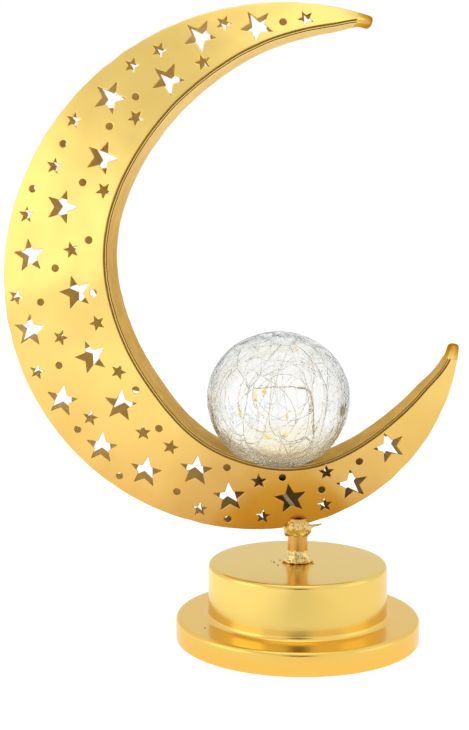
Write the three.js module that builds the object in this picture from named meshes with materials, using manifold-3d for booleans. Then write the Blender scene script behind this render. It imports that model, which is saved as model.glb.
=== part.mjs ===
// A crescent-moon table lamp: two star-cut sheet plates and an inner strip on a stem and a round base,
// with a crackle-glass globe that holds a wound string of fairy lights.
// Millimetres, +Z up, the front faces -Y, the origin is on the floor under the middle of the base.

import * as THREE from 'three';
import { mergeVertices } from 'three/addons/utils/BufferGeometryUtils.js';
import Module from 'manifold-3d';

const wasm = await Module();
wasm.setup();

// Clearances
const gap = 0.3; // between two pieces that sit on each other
const runningGap = 0.3; // round a pin, a screw or a lead in its hole
const restGap = 0.1; // added where a round piece lies along a flat one
const overshoot = 1; // how far a cutter runs past the face it cuts

// Sides of round pieces
const wideSides = 24;
const midSides = 16;
const fineSides = 12;
const weldSides = 20;
const shellSegments = 36;
const globeSegments = 26;

// Base shell, spun in one piece
const shellWall = 0.8;
const flangeRadius = 60;
const flangeHeight = 11.1;
const drumRadius = 44;
const drumTop = 37.4;
const drumEdgeRadius = 2.2;
const flangeEdgeRadius = 2;
const rootFillet = 1.6;
const rimChamfer = 0.4;

// Underside
const padThickness = 1.5;
const coverThickness = 2;
const coverScrewRadius = 1.4;
const coverScrewHeadRadius = 2.9;
const coverScrewHeadHeight = 1.2;
const coverScrewInset = 18; // from the edge of the flange, along Y
const coverScrewPlace = flangeRadius - coverScrewInset;
const coverScrewLength = 6;

// Bracket under the top of the drum, which the cover is screwed to
const bracketWidth = 16;
const bracketSheet = 1.3;
const bracketLegPlace = 36;
const bracketFootMargin = 3.7; // of the foot, past the screw
const bracketFootLength = coverScrewPlace - bracketLegPlace + bracketFootMargin;

// Stem
const stemRadius = 4.85;
const stemBore = 3.4;
const stemShow = 18.3; // from the top of the drum up to the outer seam of the crescent
const stemRise = 3.6; // how far the notched end of the stem runs up the plates
const washerRadius = 8;
const washerThickness = 0.8;
const nutRadius = 7.5;
const nutHeight = 4;
const stemBelowNut = 2;
const bushFlange = 1;
const bottomWeldRadius = 6.9;
const bottomWeldHeight = 6.5;
const topWeldRadius = 6.5;
const topWeldHeight = 7.3;
const topWeldOverSeam = 0.3; // share of its height that stands above the seam
const wedgeHalfShare = 0.05; // share of the seam that the stem's notch is worked out over, each way
const wedgeOfBand = 0.6; // how far in from the seam, as a share of the band

// Crescent: the outer seam is three arcs that run on from each other,
// from the upper tip round to the lower one
const upperArcRadius = 134.5;
const middleArcRadius = 121.8;
const lowerArcRadius = 97.9;
const seamArcs = [
  { radius: upperArcRadius, sweep: 93.6 },
  { radius: middleArcRadius, sweep: 105.9 },
  { radius: lowerArcRadius, sweep: 84.6 },
];
const seamStartHeading = 161.7; // degrees, where the seam sets off from the upper tip
const stemShare = 0.7856; // share of the seam, from the upper tip, at which the stem stands
const sheet = 0.8;
const plateStations = 32;
const widestBand = 53.1; // from the outer seam to the inner edge of a plate
const bandShares = [
  [0, 0.05], [0.011, 0.075], [0.03, 0.162], [0.095, 0.373], [0.16, 0.568], [0.25, 0.759],
  [0.35, 0.884], [0.45, 0.982], [0.52, 1], [0.6, 0.941], [0.7, 0.732], [0.8, 0.547], [0.9, 0.397],
  [0.954, 0.238], [0.979, 0.114], [0.989, 0.074], [1, 0.05],
];
const tipHalfDepth = 5.25;
const halfDepthPerWidth = 0.315;
const tipShare = 0.011; // share of the seam that each tip cap takes

// Inner strip: a shallow channel whose lips stand over the edges of both plates
const stripWall = 0.9;
const stripWallRise = 0.6; // from the plates' edge to the strip's inner face
const lipRise = 1.8;
const lipWidth = 1.1;
const lipBevel = 0.5;
const stripInset = 1.4; // how far the wall stays inside the plates' outer faces

// Cut pattern, read along the seam (hundredths of its length), across the band (share of its width),
// and the turn of one star tip from the seam's direction, in degrees towards the inner edge
const bigStarRadius = 8.2;
const smallStarRadius = 3.9;
const starWaist = 0.43; // inner corners over tip radius
const roundHoleRadius = 1.75;
const roundHoleSides = 8;
const bigStars = [
  [9.56, 0.567, 8], [14.58, 0.355, 10], [18.8, 0.683, 2], [24.12, 0.336, 60], [28.83, 0.693, 50],
  [35.06, 0.498, 38], [40.26, 0.256, 48], [43.79, 0.706, 48], [47, 0.196, 23], [51.39, 0.673, 31],
  [53.91, 0.222, 66], [57.79, 0.672, 58], [59.53, 0.239, 54], [64.16, 0.337, 37], [68.69, 0.665, 29],
  [72.52, 0.461, 29], [78.41, 0.494, 16], [84.35, 0.396, 69], [89.29, 0.601, 63],
];
const smallStars = [
  [5.37, 0.618, 14], [12.31, 0.296, 20], [15.07, 0.791, 54], [18.22, 0.256, 8], [20.88, 0.216, 3],
  [23.52, 0.752, 46], [27.68, 0.179, 61], [31.66, 0.87, 25], [31.92, 0.26, 53], [36.77, 0.156, 47],
  [39.04, 0.678, 59], [43.92, 0.115, 13], [47.76, 0.842, 45], [48.31, 0.467, 2], [50.65, 0.134, 2],
  [54.46, 0.842, 54], [56.78, 0.355, 58], [61.72, 0.66, 55], [65.15, 0.744, 28], [70.06, 0.188, 29],
  [75.34, 0.783, 19], [75.66, 0.213, 12], [81.29, 0.242, 2], [82.74, 0.848, 68],
];
const roundHoles = [
  [7.29, 0.629], [22.25, 0.569], [25.98, 0.564], [29.85, 0.229], [31.98, 0.624], [34.5, 0.135],
  [37.49, 0.845], [41.18, 0.521], [43.91, 0.873], [44.54, 0.351], [50.86, 0.357], [56.87, 0.181],
  [57.61, 0.887], [62.38, 0.124], [62.9, 0.814], [67.6, 0.307], [71.83, 0.87], [72.62, 0.133],
  [77.99, 0.878], [81.57, 0.545], [86.21, 0.753],
];

// Globe
const globeShare = 0.7774; // share of the seam above which the globe sits
const globeRadius = 35;
const crownShare = 0.93; // height of the globe's upper half over its radius, as it slumped when blown
const glassWall = 1.5;
const globeSink = 2.4; // how far the globe dips through the strip
const neckRadius = 9.5;
const neckWall = 1.3;
const neckDrop = 4.5; // from the bottom of the globe to the end of its neck
const retainerRadius = 11.9;
const retainerHeight = 2.9;
const plugFlange = 1.3;
const plugDepth = 5;

// Fairy lights inside the globe: one wire, wound in loops that shrink as they go
const wireRadius = 0.3;
const wireSides = 6;
const wireLoops = 8;
const stepsPerLoop = 24;
const firstLoopRadius = 27.6;
const loopShrink = 2;
const loopTilt = 72; // degrees from the level to the plane of a loop
const loopTiltSwing = 14;
const loopSwingRate = 1.7; // radians of swing for each loop
const loopStartTurn = 0.18; // share of a turn before the first loop's rightmost point
const loopPrecession = 47; // degrees that each loop turns from the one before
const beadRadius = 1.3;
const beadLength = 3.6;
const beadsPerLoop = 1.1;
const firstBead = 0.4; // share of the spacing before the first bead
const beadShape = [[-0.5, 0.28], [-0.25, 1], [0.25, 1], [0.5, 0.28]]; // share of its length, of its radius

// Lead from the board, up the stem, through the crescent to the globe
const leadRadius = 1.1;
const leadSides = 6;
const leadSteps = 24;
const wireLeadRadius = 0.7;
const wireLeadSteps = 14;
const wireStraight = 2.5; // straight run where a wire leaves a tab or the board
const wireBows = [4, 7.5]; // how high each wire bows over its tab
const wirePads = [8, 4]; // from the middle of the board to each wire's pad
const wirePadInset = 2; // from the board's edge
const boardLeadStart = [-15, -5];
const leadStraight = 4; // straight run where the lead enters or leaves a hole
const leadLean = 0.15; // share of the way across to the globe that it leans at each end

// Battery compartment: two AAA cells side by side
const cellRadius = 5.25;
const cellLength = 44.5;
const cellNubRadius = 1.9;
const cellNubLength = 0.8;
const cellPitch = 11;
const cellSideGap = 0.45;
const boxWall = 1.2;
const boxStart = 4.2; // from the axis of the base to the box's near side
const contactSheet = 0.5;
const contactWidth = 8.4;
const contactHeight = 9;
const bridgeInset = 1;
const springReach = 3.3;
const tabWidth = 2.4;
const tabRise = 1.8; // above the top of the box

// Battery door
const doorThickness = 1.6;
const hingeBarrelRadius = 1.4;
const hingePinRadius = 0.6;
const hingeBarrelLength = 36;
const hingeEarLength = 3.7;
const doorSwingRoom = 0.9; // beyond the barrel, so that the door can swing past square
const latchWidth = 8;
const latchThickness = 0.8;
const latchRise = 2.6;
const grooveLength = 10;
const grooveWidth = 2;
const grooveDepth = 0.5;

// Circuit board and switch
const boardLength = 26;
const boardWidth = 22;
const boardThickness = 1.6;
const boardPlace = -22;
const boardLift = 5.3; // from the top of the cover to the underside of the board
const boardScrewRadius = 0.9;
const boardScrewHeadRadius = 1.9;
const boardScrewHeadHeight = 1.2;
const boardScrewLength = 5.2;
const bossRadius = 2.4;
const bossPlaceX = -31;
const bossPlaceY = 7;
const bossFloor = 1.2; // solid plastic under the screw
const chipSize = [5, 4, 1.6];
const resistorRadius = 1.1;
const resistorLength = 6.5;
const switchLength = 8.6;
const switchWidth = 4.6;
const switchHeight = 4;
const switchRoof = 1;
const switchPinRadius = 0.5;
const switchPlace = -17;
const sliderLength = 3;
const sliderWidth = 2;
const sliderTravel = 2.5;
const sliderTopGap = 0.5;
const sliderLowest = 0.9; // above the floor
const fingerRoom = 5;

// Heights worked out from the sizes above
const coverBottom = padThickness + gap;
const coverTop = coverBottom + coverThickness;
const shellInnerTop = drumTop - shellWall;
const bracketTop = shellInnerTop - gap;
const washerTop = bracketTop - bracketSheet - gap;
const nutTop = washerTop - washerThickness - gap;
const stemBottom = nutTop - nutHeight - stemBelowNut;
const boxBottom = coverTop + gap;
const cellAxisHeight = boxBottom + cellRadius + restGap;
const boxInnerTop = cellAxisHeight + cellRadius + gap;
const boxTop = boxInnerTop + boxWall;
const boardBottom = coverTop + boardLift;
const boardTop = boardBottom + boardThickness;

// Places worked out from the sizes above
const boxInnerWidth = cellPitch + 2 * cellRadius + 2 * cellSideGap;
const boxWidth = boxInnerWidth + 2 * boxWall;
const boxMiddle = boxStart + boxWidth / 2;
const endRoom = gap + contactSheet + gap; // wall, contact and its gaps at the nub end of a cell
const boxInnerLength = cellLength + endRoom + gap + springReach + contactSheet + gap;
const boxLength = boxInnerLength + 2 * boxWall;
const hingeAxisX = boxStart + boxWidth + gap + restGap + hingeBarrelRadius;
const hingeAxisZ = coverBottom + hingeBarrelRadius;
const doorStart = boxStart + gap;
const openingEnd = hingeAxisX + hingeBarrelRadius + doorSwingRoom;

// Material colours
function metal(color, roughness) {
  return new THREE.MeshStandardMaterial({ color, roughness, metalness: 1 });
}

function plastic(color, roughness) {
  return new THREE.MeshStandardMaterial({ color, roughness, metalness: 0 });
}

const goldLacquer = metal(0xd9a441, 0.3);
const weldGold = metal(0xc9973a, 0.4);
const zinc = metal(0xb9bcc0, 0.35);
const nickel = metal(0xc8c6bd, 0.25);
const brassWire = metal(0xc9a45c, 0.35);
const clearGlass = new THREE.MeshStandardMaterial({
  color: 0xe9efe9,
  roughness: 0.05,
  metalness: 0,
  transparent: true,
  opacity: 0.35,
});
const blackPlastic = plastic(0x1b1b1d, 0.55);
const whitePlastic = plastic(0xe8e6df, 0.5);
const padFoam = plastic(0x222224, 0.9);
const clearRubber = plastic(0xcfcabb, 0.6);
const boardGreen = plastic(0x1f6a3c, 0.5);
const chipBlack = plastic(0x151515, 0.5);
const resistorTan = plastic(0xc8a878, 0.5);
const cellJacket = plastic(0x8d9094, 0.4);
const leadJacket = plastic(0xd8c58a, 0.5);
const redJacket = plastic(0xa32019, 0.5);

const lamp = new THREE.Group();

function addPiece(name, geometry, material) {
  const mesh = new THREE.Mesh(geometry, material);
  mesh.name = name;
  lamp.add(mesh);
  return mesh;
}

// Solids
function onlyPositions(geometry) {
  const copy = geometry.clone();
  for (const key of Object.keys(copy.attributes)) {
    if (key !== 'position') {
      copy.deleteAttribute(key);
    }
  }
  return mergeVertices(copy, 1e-4);
}

function toSolid(geometry) {
  const merged = onlyPositions(geometry);
  return new wasm.Manifold(new wasm.Mesh({
    numProp: 3,
    vertProperties: new Float32Array(merged.attributes.position.array),
    triVerts: new Uint32Array(merged.index.array),
  }));
}

function toGeometry(solid) {
  const mesh = solid.getMesh();
  const geometry = new THREE.BufferGeometry();
  const places = new Float32Array(mesh.numVert * 3);
  for (let i = 0; i < mesh.numVert; i += 1) {
    for (let k = 0; k < 3; k += 1) {
      places[3 * i + k] = mesh.vertProperties[i * mesh.numProp + k];
    }
  }
  geometry.setAttribute('position', new THREE.BufferAttribute(places, 3));
  geometry.setIndex(Array.from(mesh.triVerts));
  geometry.computeVertexNormals();
  return geometry;
}

function cut(geometry, cutters) {
  let solid = toSolid(geometry);
  for (const cutter of cutters) {
    solid = solid.subtract(toSolid(cutter));
  }
  return toGeometry(solid);
}

function join(geometries) {
  let solid = toSolid(geometries[0]);
  for (const other of geometries.slice(1)) {
    solid = solid.add(toSolid(other));
  }
  return toGeometry(solid);
}

// A box from its lowest and highest corners
function block(low, high) {
  const size = high.map((value, k) => value - low[k]);
  const geometry = new THREE.BoxGeometry(...size);
  geometry.translate(...low.map((value, k) => value + size[k] / 2));
  return geometry;
}

// A round bar that stands along Z
function bar(radius, low, high, { x = 0, y = 0, sides = wideSides } = {}) {
  const geometry = new THREE.CylinderGeometry(radius, radius, high - low, sides);
  geometry.rotateX(Math.PI / 2);
  geometry.translate(x, y, (low + high) / 2);
  return geometry;
}

// A round bar that lies along Y
function lyingBar(radius, low, high, { x, z, sides = fineSides }) {
  const geometry = new THREE.CylinderGeometry(radius, radius, high - low, sides);
  geometry.translate(x, (low + high) / 2, z);
  return geometry;
}

// A solid of revolution about Z: profile points are [radius, height]
function turned(profile, segments, { x = 0, y = 0 } = {}) {
  const geometry = new THREE.LatheGeometry(profile.map(([r, z]) => new THREE.Vector2(r, z)), segments);
  geometry.rotateX(Math.PI / 2);
  geometry.translate(x, y, 0);
  return outward(onlyPositions(geometry));
}

// Points of an arc in a profile, in degrees from the first axis
function arcPoints(centre, radius, from, to, steps) {
  const points = [];
  for (let i = 0; i <= steps; i += 1) {
    const angle = THREE.MathUtils.degToRad(from + ((to - from) * i) / steps);
    points.push([centre[0] + radius * Math.cos(angle), centre[1] + radius * Math.sin(angle)]);
  }
  return points;
}

function signedVolume(geometry) {
  const place = geometry.attributes.position;
  const index = geometry.index.array;
  const corner = [new THREE.Vector3(), new THREE.Vector3(), new THREE.Vector3()];
  let volume = 0;
  for (let i = 0; i < index.length; i += 3) {
    corner.forEach((vector, k) => vector.fromBufferAttribute(place, index[i + k]));
    volume += corner[0].dot(corner[1].cross(corner[2])) / 6;
  }
  return volume;
}

// Faces turned so that they point out of the solid, without those that have no area
function outward(geometry) {
  const inverted = signedVolume(geometry) < 0;
  const index = geometry.index.array;
  const live = [];
  for (let i = 0; i < index.length; i += 3) {
    const [a, b, c] = [index[i], index[i + 1], index[i + 2]];
    if (a !== b && b !== c && c !== a) {
      live.push(...(inverted ? [b, a, c] : [a, b, c]));
    }
  }
  geometry.setIndex(live);
  geometry.computeVertexNormals();
  return geometry;
}

// A closed solid through rings of points; ends holds the triangles of the first and the last ring.
// The faces between two rings are split one way, and those of the sides listed in crossed the other way
function loft(rings, ends, crossed = []) {
  const count = rings[0].length;
  const places = rings.flat().flatMap((point) => [point.x, point.y, point.z]);
  const index = [];
  for (let r = 0; r + 1 < rings.length; r += 1) {
    for (let i = 0; i < count; i += 1) {
      const a = r * count + i;
      const b = r * count + ((i + 1) % count);
      if (crossed.includes(i)) {
        index.push(a, b, a + count, b, b + count, a + count);
      } else {
        index.push(a, b, b + count, a, b + count, a + count);
      }
    }
  }
  const last = (rings.length - 1) * count;
  for (const [a, b, c] of ends) {
    index.push(c, b, a, last + a, last + b, last + c);
  }
  const geometry = new THREE.BufferGeometry();
  geometry.setAttribute('position', new THREE.Float32BufferAttribute(places, 3));
  geometry.setIndex(index);
  return outward(geometry);
}

// Triangles of a flat outline, wound the way the outline runs
function capFaces(outline) {
  const flat = outline.map(([a, b]) => new THREE.Vector2(a, b));
  const way = Math.sign(THREE.ShapeUtils.area(flat));
  return THREE.ShapeUtils.triangulateShape(flat, []).map(([a, b, c]) => {
    const corners = [flat[a], flat[b], flat[c]];
    return Math.sign(THREE.ShapeUtils.area(corners)) === way ? [a, b, c] : [c, b, a];
  });
}

function fan(count) {
  const faces = [];
  for (let i = 1; i + 1 < count; i += 1) {
    faces.push([0, i, i + 1]);
  }
  return faces;
}

// A tube along points, with a ring of its own radius at each; the frame is carried along without twist
function tube(points, radii, sides) {
  const rings = [];
  let side = null;
  points.forEach((point, i) => {
    const before = points[Math.max(i - 1, 0)];
    const after = points[Math.min(i + 1, points.length - 1)];
    const along = after.clone().sub(before).normalize();
    if (side === null) {
      side = Math.abs(along.y) < 0.9 ? new THREE.Vector3(0, 1, 0) : new THREE.Vector3(1, 0, 0);
    }
    side.addScaledVector(along, -side.dot(along)).normalize();
    const other = along.clone().cross(side);
    const ring = [];
    for (let k = 0; k < sides; k += 1) {
      const angle = (2 * Math.PI * k) / sides;
      ring.push(point.clone()
        .addScaledVector(side, radii[i] * Math.cos(angle))
        .addScaledVector(other, radii[i] * Math.sin(angle)));
    }
    rings.push(ring);
  });
  return loft(rings, fan(sides));
}

// A lead of one radius along a smooth curve through a few points
function lead(points, radius, sides, steps) {
  const places = points.map((point) => new THREE.Vector3(...point));
  const curve = new THREE.CatmullRomCurve3(places, false, 'centripetal');
  const section = new THREE.Shape();
  for (let k = 0; k < sides; k += 1) {
    const angle = (2 * Math.PI * k) / sides;
    if (k === 0) {
      section.moveTo(radius, 0);
    } else {
      section.lineTo(radius * Math.cos(angle), radius * Math.sin(angle));
    }
  }
  section.closePath();
  return new THREE.ExtrudeGeometry(section, { steps, extrudePath: curve });
}

// Outer seam of the crescent
const seamLengths = seamArcs.map(({ radius, sweep }) => radius * THREE.MathUtils.degToRad(sweep));
const seamLength = seamLengths.reduce((sum, length) => sum + length, 0);

function seamFromTip(share) {
  let left = share * seamLength;
  let x = 0;
  let z = 0;
  let heading = THREE.MathUtils.degToRad(seamStartHeading);
  seamArcs.forEach(({ radius }, k) => {
    const run = k + 1 < seamArcs.length ? Math.min(left, seamLengths[k]) : left;
    const turn = run / radius;
    x += radius * (Math.sin(heading + turn) - Math.sin(heading));
    z += radius * (Math.cos(heading) - Math.cos(heading + turn));
    heading += turn;
    left -= run;
  });
  return { x, z, heading };
}

const seamAtStem = seamFromTip(stemShare);
const seamBottom = drumTop + stemShow;

function seam(share) {
  const local = seamFromTip(share);
  return {
    x: local.x - seamAtStem.x,
    z: local.z - seamAtStem.z + seamBottom,
    heading: local.heading,
  };
}

// Width of the band at a share of the seam, smooth through the chosen shares
function bandWidth(share) {
  const last = bandShares.length - 1;
  const bounded = Math.min(Math.max(share, 0), 1);
  let k = 0;
  while (k < last - 1 && bounded > bandShares[k + 1][0]) {
    k += 1;
  }
  const slope = (i) => {
    const before = bandShares[Math.max(i - 1, 0)];
    const after = bandShares[Math.min(i + 1, last)];
    return (after[1] - before[1]) / (after[0] - before[0]);
  };
  const run = bandShares[k + 1][0] - bandShares[k][0];
  const t = (bounded - bandShares[k][0]) / run;
  const value = (1 + 2 * t) * (1 - t) ** 2 * bandShares[k][1]
    + t * (1 - t) ** 2 * run * slope(k)
    + t ** 2 * (3 - 2 * t) * bandShares[k + 1][1]
    + t ** 2 * (t - 1) * run * slope(k + 1);
  return widestBand * value;
}

function halfDepth(share) {
  return tipHalfDepth + halfDepthPerWidth * bandWidth(share);
}

// A point of the crescent: a share of the seam, a distance in from it, and a depth
function crescentPoint(share, inward, y) {
  const { x, z, heading } = seam(share);
  return new THREE.Vector3(x - Math.sin(heading) * inward, y, z + Math.cos(heading) * inward);
}

function stationShares() {
  const shares = [];
  for (let i = 0; i <= plateStations; i += 1) {
    shares.push(tipShare + ((1 - 2 * tipShare) * i) / plateStations);
  }
  return shares;
}

const seamFace = gap / 2 + sheet; // depth of a plate's outer face at the seam

// A flat-sided section swept along the crescent: section gives [inward, y] points at a share
function sweep(shares, section, crossed = []) {
  const rings = shares.map((share) => section(share).map(([inward, y]) => crescentPoint(share, inward, y)));
  return loft(rings, capFaces(section(shares[0])), crossed);
}

// The inside of a plate is split along the same lines as its outside, so the sheet keeps its thickness
function plate(side) {
  const insideSplit = [2];
  return sweep(stationShares(), (share) => {
    const width = bandWidth(share);
    const depth = halfDepth(share);
    return [
      [0, side * seamFace],
      [width, side * depth],
      [width, side * (depth - sheet)],
      [0, side * (seamFace - sheet)],
    ];
  }, insideSplit);
}

// Star and hole cutters, straight through both plates
function starOutline(radius, turn) {
  const points = [];
  for (let i = 0; i < 10; i += 1) {
    const angle = turn + (i * Math.PI) / 5;
    const reach = i % 2 === 0 ? radius : radius * starWaist;
    points.push([reach * Math.cos(angle), reach * Math.sin(angle)]);
  }
  return points;
}

function roundOutline(radius, sides) {
  const points = [];
  for (let i = 0; i < sides; i += 1) {
    const angle = (2 * Math.PI * i) / sides;
    points.push([radius * Math.cos(angle), radius * Math.sin(angle)]);
  }
  return points;
}

function patternCutter([hundredths, across], outlineAt) {
  const share = hundredths / 100;
  const centre = crescentPoint(share, across * bandWidth(share), 0);
  const reach = halfDepth(share) + sheet + 2 * overshoot;
  const outline = outlineAt(seam(share).heading);
  const ring = (y) => outline.map(([dx, dz]) => new THREE.Vector3(centre.x + dx, y, centre.z + dz));
  return loft([ring(-reach), ring(reach)], capFaces(outline));
}

function starCutters(stars, radius) {
  return stars.map((star) => patternCutter(star, (heading) => {
    const turn = heading + THREE.MathUtils.degToRad(star[2]);
    return starOutline(radius, turn);
  }));
}

const patternCutters = [
  ...starCutters(bigStars, bigStarRadius),
  ...starCutters(smallStars, smallStarRadius),
  ...roundHoles.map((hole) => patternCutter(hole, () => roundOutline(roundHoleRadius, roundHoleSides))),
];

const leadHole = bar(
  leadRadius + 2 * runningGap,
  seamBottom - stemRadius,
  seamBottom + 2 * stemRadius,
  { sides: fineSides },
);

addPiece('crescent_front_plate', cut(plate(-1), [...patternCutters, leadHole]), goldLacquer);
addPiece('crescent_back_plate', cut(plate(1), [...patternCutters, leadHole]), goldLacquer);

// Inner strip
function stripSection(share) {
  const width = bandWidth(share);
  const depth = halfDepth(share);
  const side = (y) => [
    [width + gap, y * depth],
    [width + lipRise - lipBevel, y * depth],
    [width + lipRise, y * (depth - lipBevel)],
    [width + lipRise, y * (depth - lipWidth)],
    [width + stripWallRise, y * (depth - lipWidth - lipBevel)],
  ];
  const under = (y) => [
    [width + stripWallRise - stripWall, y * (depth - stripInset)],
    [width + gap, y * (depth - stripInset)],
  ];
  return [...side(-1), ...side(1).reverse(), ...under(1).reverse(), ...under(-1)];
}

const wallAtGlobe = crescentPoint(globeShare, bandWidth(globeShare) + stripWallRise, 0);
const globe = { x: wallAtGlobe.x, z: wallAtGlobe.z - globeSink + globeRadius };
const globeBottom = globe.z - globeRadius;
const neckEnd = globeBottom - neckDrop;

function ballAtGlobe(radius) {
  const profile = arcPoints([0, globe.z], radius, -90, 90, globeSegments / 2);
  profile[0][0] = 0;
  profile[profile.length - 1][0] = 0;
  return turned(profile, globeSegments, { x: globe.x });
}

addPiece(
  'crescent_inner_strip',
  cut(sweep(stationShares(), stripSection), [ballAtGlobe(globeRadius + gap)]),
  goldLacquer,
);

// Tip caps: the crescent's own section, rounded off to a nose
const tipCapRuns = [0, 0.2, 0.4, 0.6, 0.8, 0.96]; // how far along its length each ring of a cap stands

function tipCap(atEnd) {
  const edge = tipShare - gap / seamLength;
  const width = bandWidth(tipShare);
  const depth = halfDepth(tipShare);
  const middle = (width + lipRise) / 2;
  const corners = [
    [0, -seamFace],
    [width, -depth],
    [width + lipRise, -depth + lipBevel],
    [width + lipRise, depth - lipBevel],
    [width, depth],
    [0, seamFace],
  ];
  const sections = tipCapRuns.map((run) => {
    const shrink = Math.sqrt(1 - run ** 3);
    const share = edge * (1 - run);
    return corners.map(([inward, y]) => crescentPoint(
      atEnd ? 1 - share : share,
      middle + (inward - middle) * shrink,
      y * shrink,
    ));
  });
  return loft(sections, fan(corners.length));
}

addPiece('upper_tip_cap', tipCap(false), goldLacquer);
addPiece('lower_tip_cap', tipCap(true), goldLacquer);

// The wedge that both plates make over the stem, with the gap that the stem and its weld keep to them
function keelWedge() {
  const shares = [-1, -0.5, 0, 0.5, 1].map((step) => stemShare + step * wedgeHalfShare);
  return sweep(shares, (share) => {
    const width = bandWidth(share);
    const slope = (halfDepth(share) - seamFace) / width;
    const reach = wedgeOfBand * width;
    const room = gap * Math.hypot(1, slope);
    return [
      [-gap, -seamFace - room],
      [reach, -seamFace - slope * reach - room],
      [reach, seamFace + slope * reach + room],
      [-gap, seamFace + room],
    ];
  });
}

// Stem
const stemTop = seamBottom + stemRise;
const stemTube = turned([
  [stemBore, stemBottom],
  [stemRadius, stemBottom],
  [stemRadius, stemTop],
  [stemBore, stemTop],
  [stemBore, stemBottom],
], wideSides);
addPiece('stem_tube', cut(stemTube, [keelWedge()]), goldLacquer);

const weldBore = stemRadius + gap;

// Weld outlines: share of the weld's own height, then how much of its bulge is left there
const bottomWeldShape = [[0, 1], [0.15, 0.85], [0.45, 0.37], [1, 0.17]];
const topWeldShape = [[0, 0.22], [0.45, 0.78], [0.75, 1], [1, 0.78]];

function weldRing(shape, base, height, radius) {
  const outside = shape.map(([up, bulge]) => [weldBore + bulge * (radius - weldBore), base + up * height]);
  return turned([[weldBore, base], ...outside, [weldBore, base + height], [weldBore, base]], weldSides);
}

addPiece(
  'stem_bottom_weld',
  weldRing(bottomWeldShape, drumTop + gap, bottomWeldHeight, bottomWeldRadius),
  weldGold,
);

const topWeldBase = seamBottom - (1 - topWeldOverSeam) * topWeldHeight;
const topWeldRing = weldRing(topWeldShape, topWeldBase, topWeldHeight, topWeldRadius);
addPiece('stem_top_weld', cut(topWeldRing, [keelWedge()]), weldGold);

// Base shell
function shellProfile() {
  const stemHole = stemRadius + gap;
  const drumEdge = [drumRadius - drumEdgeRadius, drumTop - drumEdgeRadius];
  const root = [drumRadius + rootFillet, flangeHeight + rootFillet];
  const flangeEdge = [flangeRadius - flangeEdgeRadius, flangeHeight - flangeEdgeRadius];
  const outside = [
    [stemHole, drumTop],
    ...arcPoints(drumEdge, drumEdgeRadius, 90, 0, 3),
    ...arcPoints(root, rootFillet, 180, 270, 2),
    ...arcPoints(flangeEdge, flangeEdgeRadius, 90, 0, 3),
    [flangeRadius, rimChamfer],
    [flangeRadius - rimChamfer, 0],
    [flangeRadius - shellWall, 0],
  ];
  const inside = [
    ...arcPoints(flangeEdge, flangeEdgeRadius - shellWall, 0, 90, 2),
    ...arcPoints(root, rootFillet + shellWall, 270, 180, 2),
    ...arcPoints(drumEdge, drumEdgeRadius - shellWall, 0, 90, 2),
    [stemHole, shellInnerTop],
  ];
  return [...outside, ...inside, outside[0]];
}

addPiece('base_shell', turned(shellProfile(), shellSegments), goldLacquer);

// Bottom cover, with the bosses of the board and the ears of the door's hinge
const coverRadius = flangeRadius - shellWall - gap;
const halfDoorway = boxLength / 2 + gap;
const doorway = block(
  [boxStart, -halfDoorway, coverBottom - overshoot],
  [openingEnd, halfDoorway, coverTop + overshoot],
);
const earInner = hingeBarrelLength / 2 + gap;
const earOuter = earInner + hingeEarLength;

function hingeEar(side) {
  const low = Math.min(side * earInner, side * earOuter);
  const high = Math.max(side * earInner, side * earOuter);
  const round = lyingBar(hingeBarrelRadius, low, high, { x: hingeAxisX, z: hingeAxisZ, sides: midSides });
  const arm = block([hingeAxisX, low, coverBottom], [openingEnd + overshoot, high, coverTop]);
  return join([round, arm]);
}

const bosses = [-1, 1].map((side) => bar(bossRadius, coverTop - overshoot, boardBottom - gap, {
  x: bossPlaceX,
  y: side * bossPlaceY,
  sides: midSides,
}));
const bossBores = [-1, 1].map((side) => bar(
  boardScrewRadius + runningGap,
  coverTop + bossFloor,
  boardBottom,
  { x: bossPlaceX, y: side * bossPlaceY, sides: fineSides },
));
const hingeBore = lyingBar(hingePinRadius + runningGap, -earOuter - overshoot, earOuter + overshoot, {
  x: hingeAxisX,
  z: hingeAxisZ,
});
const coverScrewHoles = [-1, 1].map((side) => bar(coverScrewRadius + runningGap, 0, bracketTop / 2, {
  y: side * coverScrewPlace,
  sides: midSides,
}));
const sliderRoom = sliderLength / 2 + sliderTravel / 2 + gap;
const sliderSlot = block(
  [switchPlace - sliderWidth / 2 - gap, -sliderRoom, coverBottom - overshoot],
  [switchPlace + sliderWidth / 2 + gap, sliderRoom, coverTop + overshoot],
);
const coverDisc = bar(coverRadius, coverBottom, coverTop, { sides: shellSegments });
const coverBody = join([cut(coverDisc, [doorway]), hingeEar(-1), hingeEar(1), ...bosses]);
addPiece(
  'bottom_cover',
  cut(coverBody, [hingeBore, ...bossBores, ...coverScrewHoles, sliderSlot]),
  blackPlastic,
);

// Foam pad on the underside, open at the door, the switch and the screws
const padRadius = coverRadius - gap;
addPiece('base_pad', cut(bar(padRadius, 0, padThickness, { sides: shellSegments }), [
  block(
    [boxStart, -halfDoorway - gap, -overshoot],
    [openingEnd + gap, halfDoorway + gap, padThickness + overshoot],
  ),
  block(
    [switchPlace - fingerRoom, -sliderRoom - fingerRoom, -overshoot],
    [switchPlace + fingerRoom, sliderRoom + fingerRoom, padThickness + overshoot],
  ),
  ...[-1, 1].map((side) => bar(coverScrewHeadRadius + 2 * gap, -overshoot, padThickness + overshoot, {
    y: side * coverScrewPlace,
    sides: midSides,
  })),
]), padFoam);

// A screw that points up from its head, or down
function screw({ x, y, headFrom, headTo, tip, shank, head }) {
  const inHead = (headFrom + headTo) / 2;
  return join([
    bar(head, headFrom, headTo, { x, y, sides: midSides }),
    bar(shank, Math.min(tip, inHead), Math.max(tip, inHead), { x, y, sides: fineSides }),
  ]);
}

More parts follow.
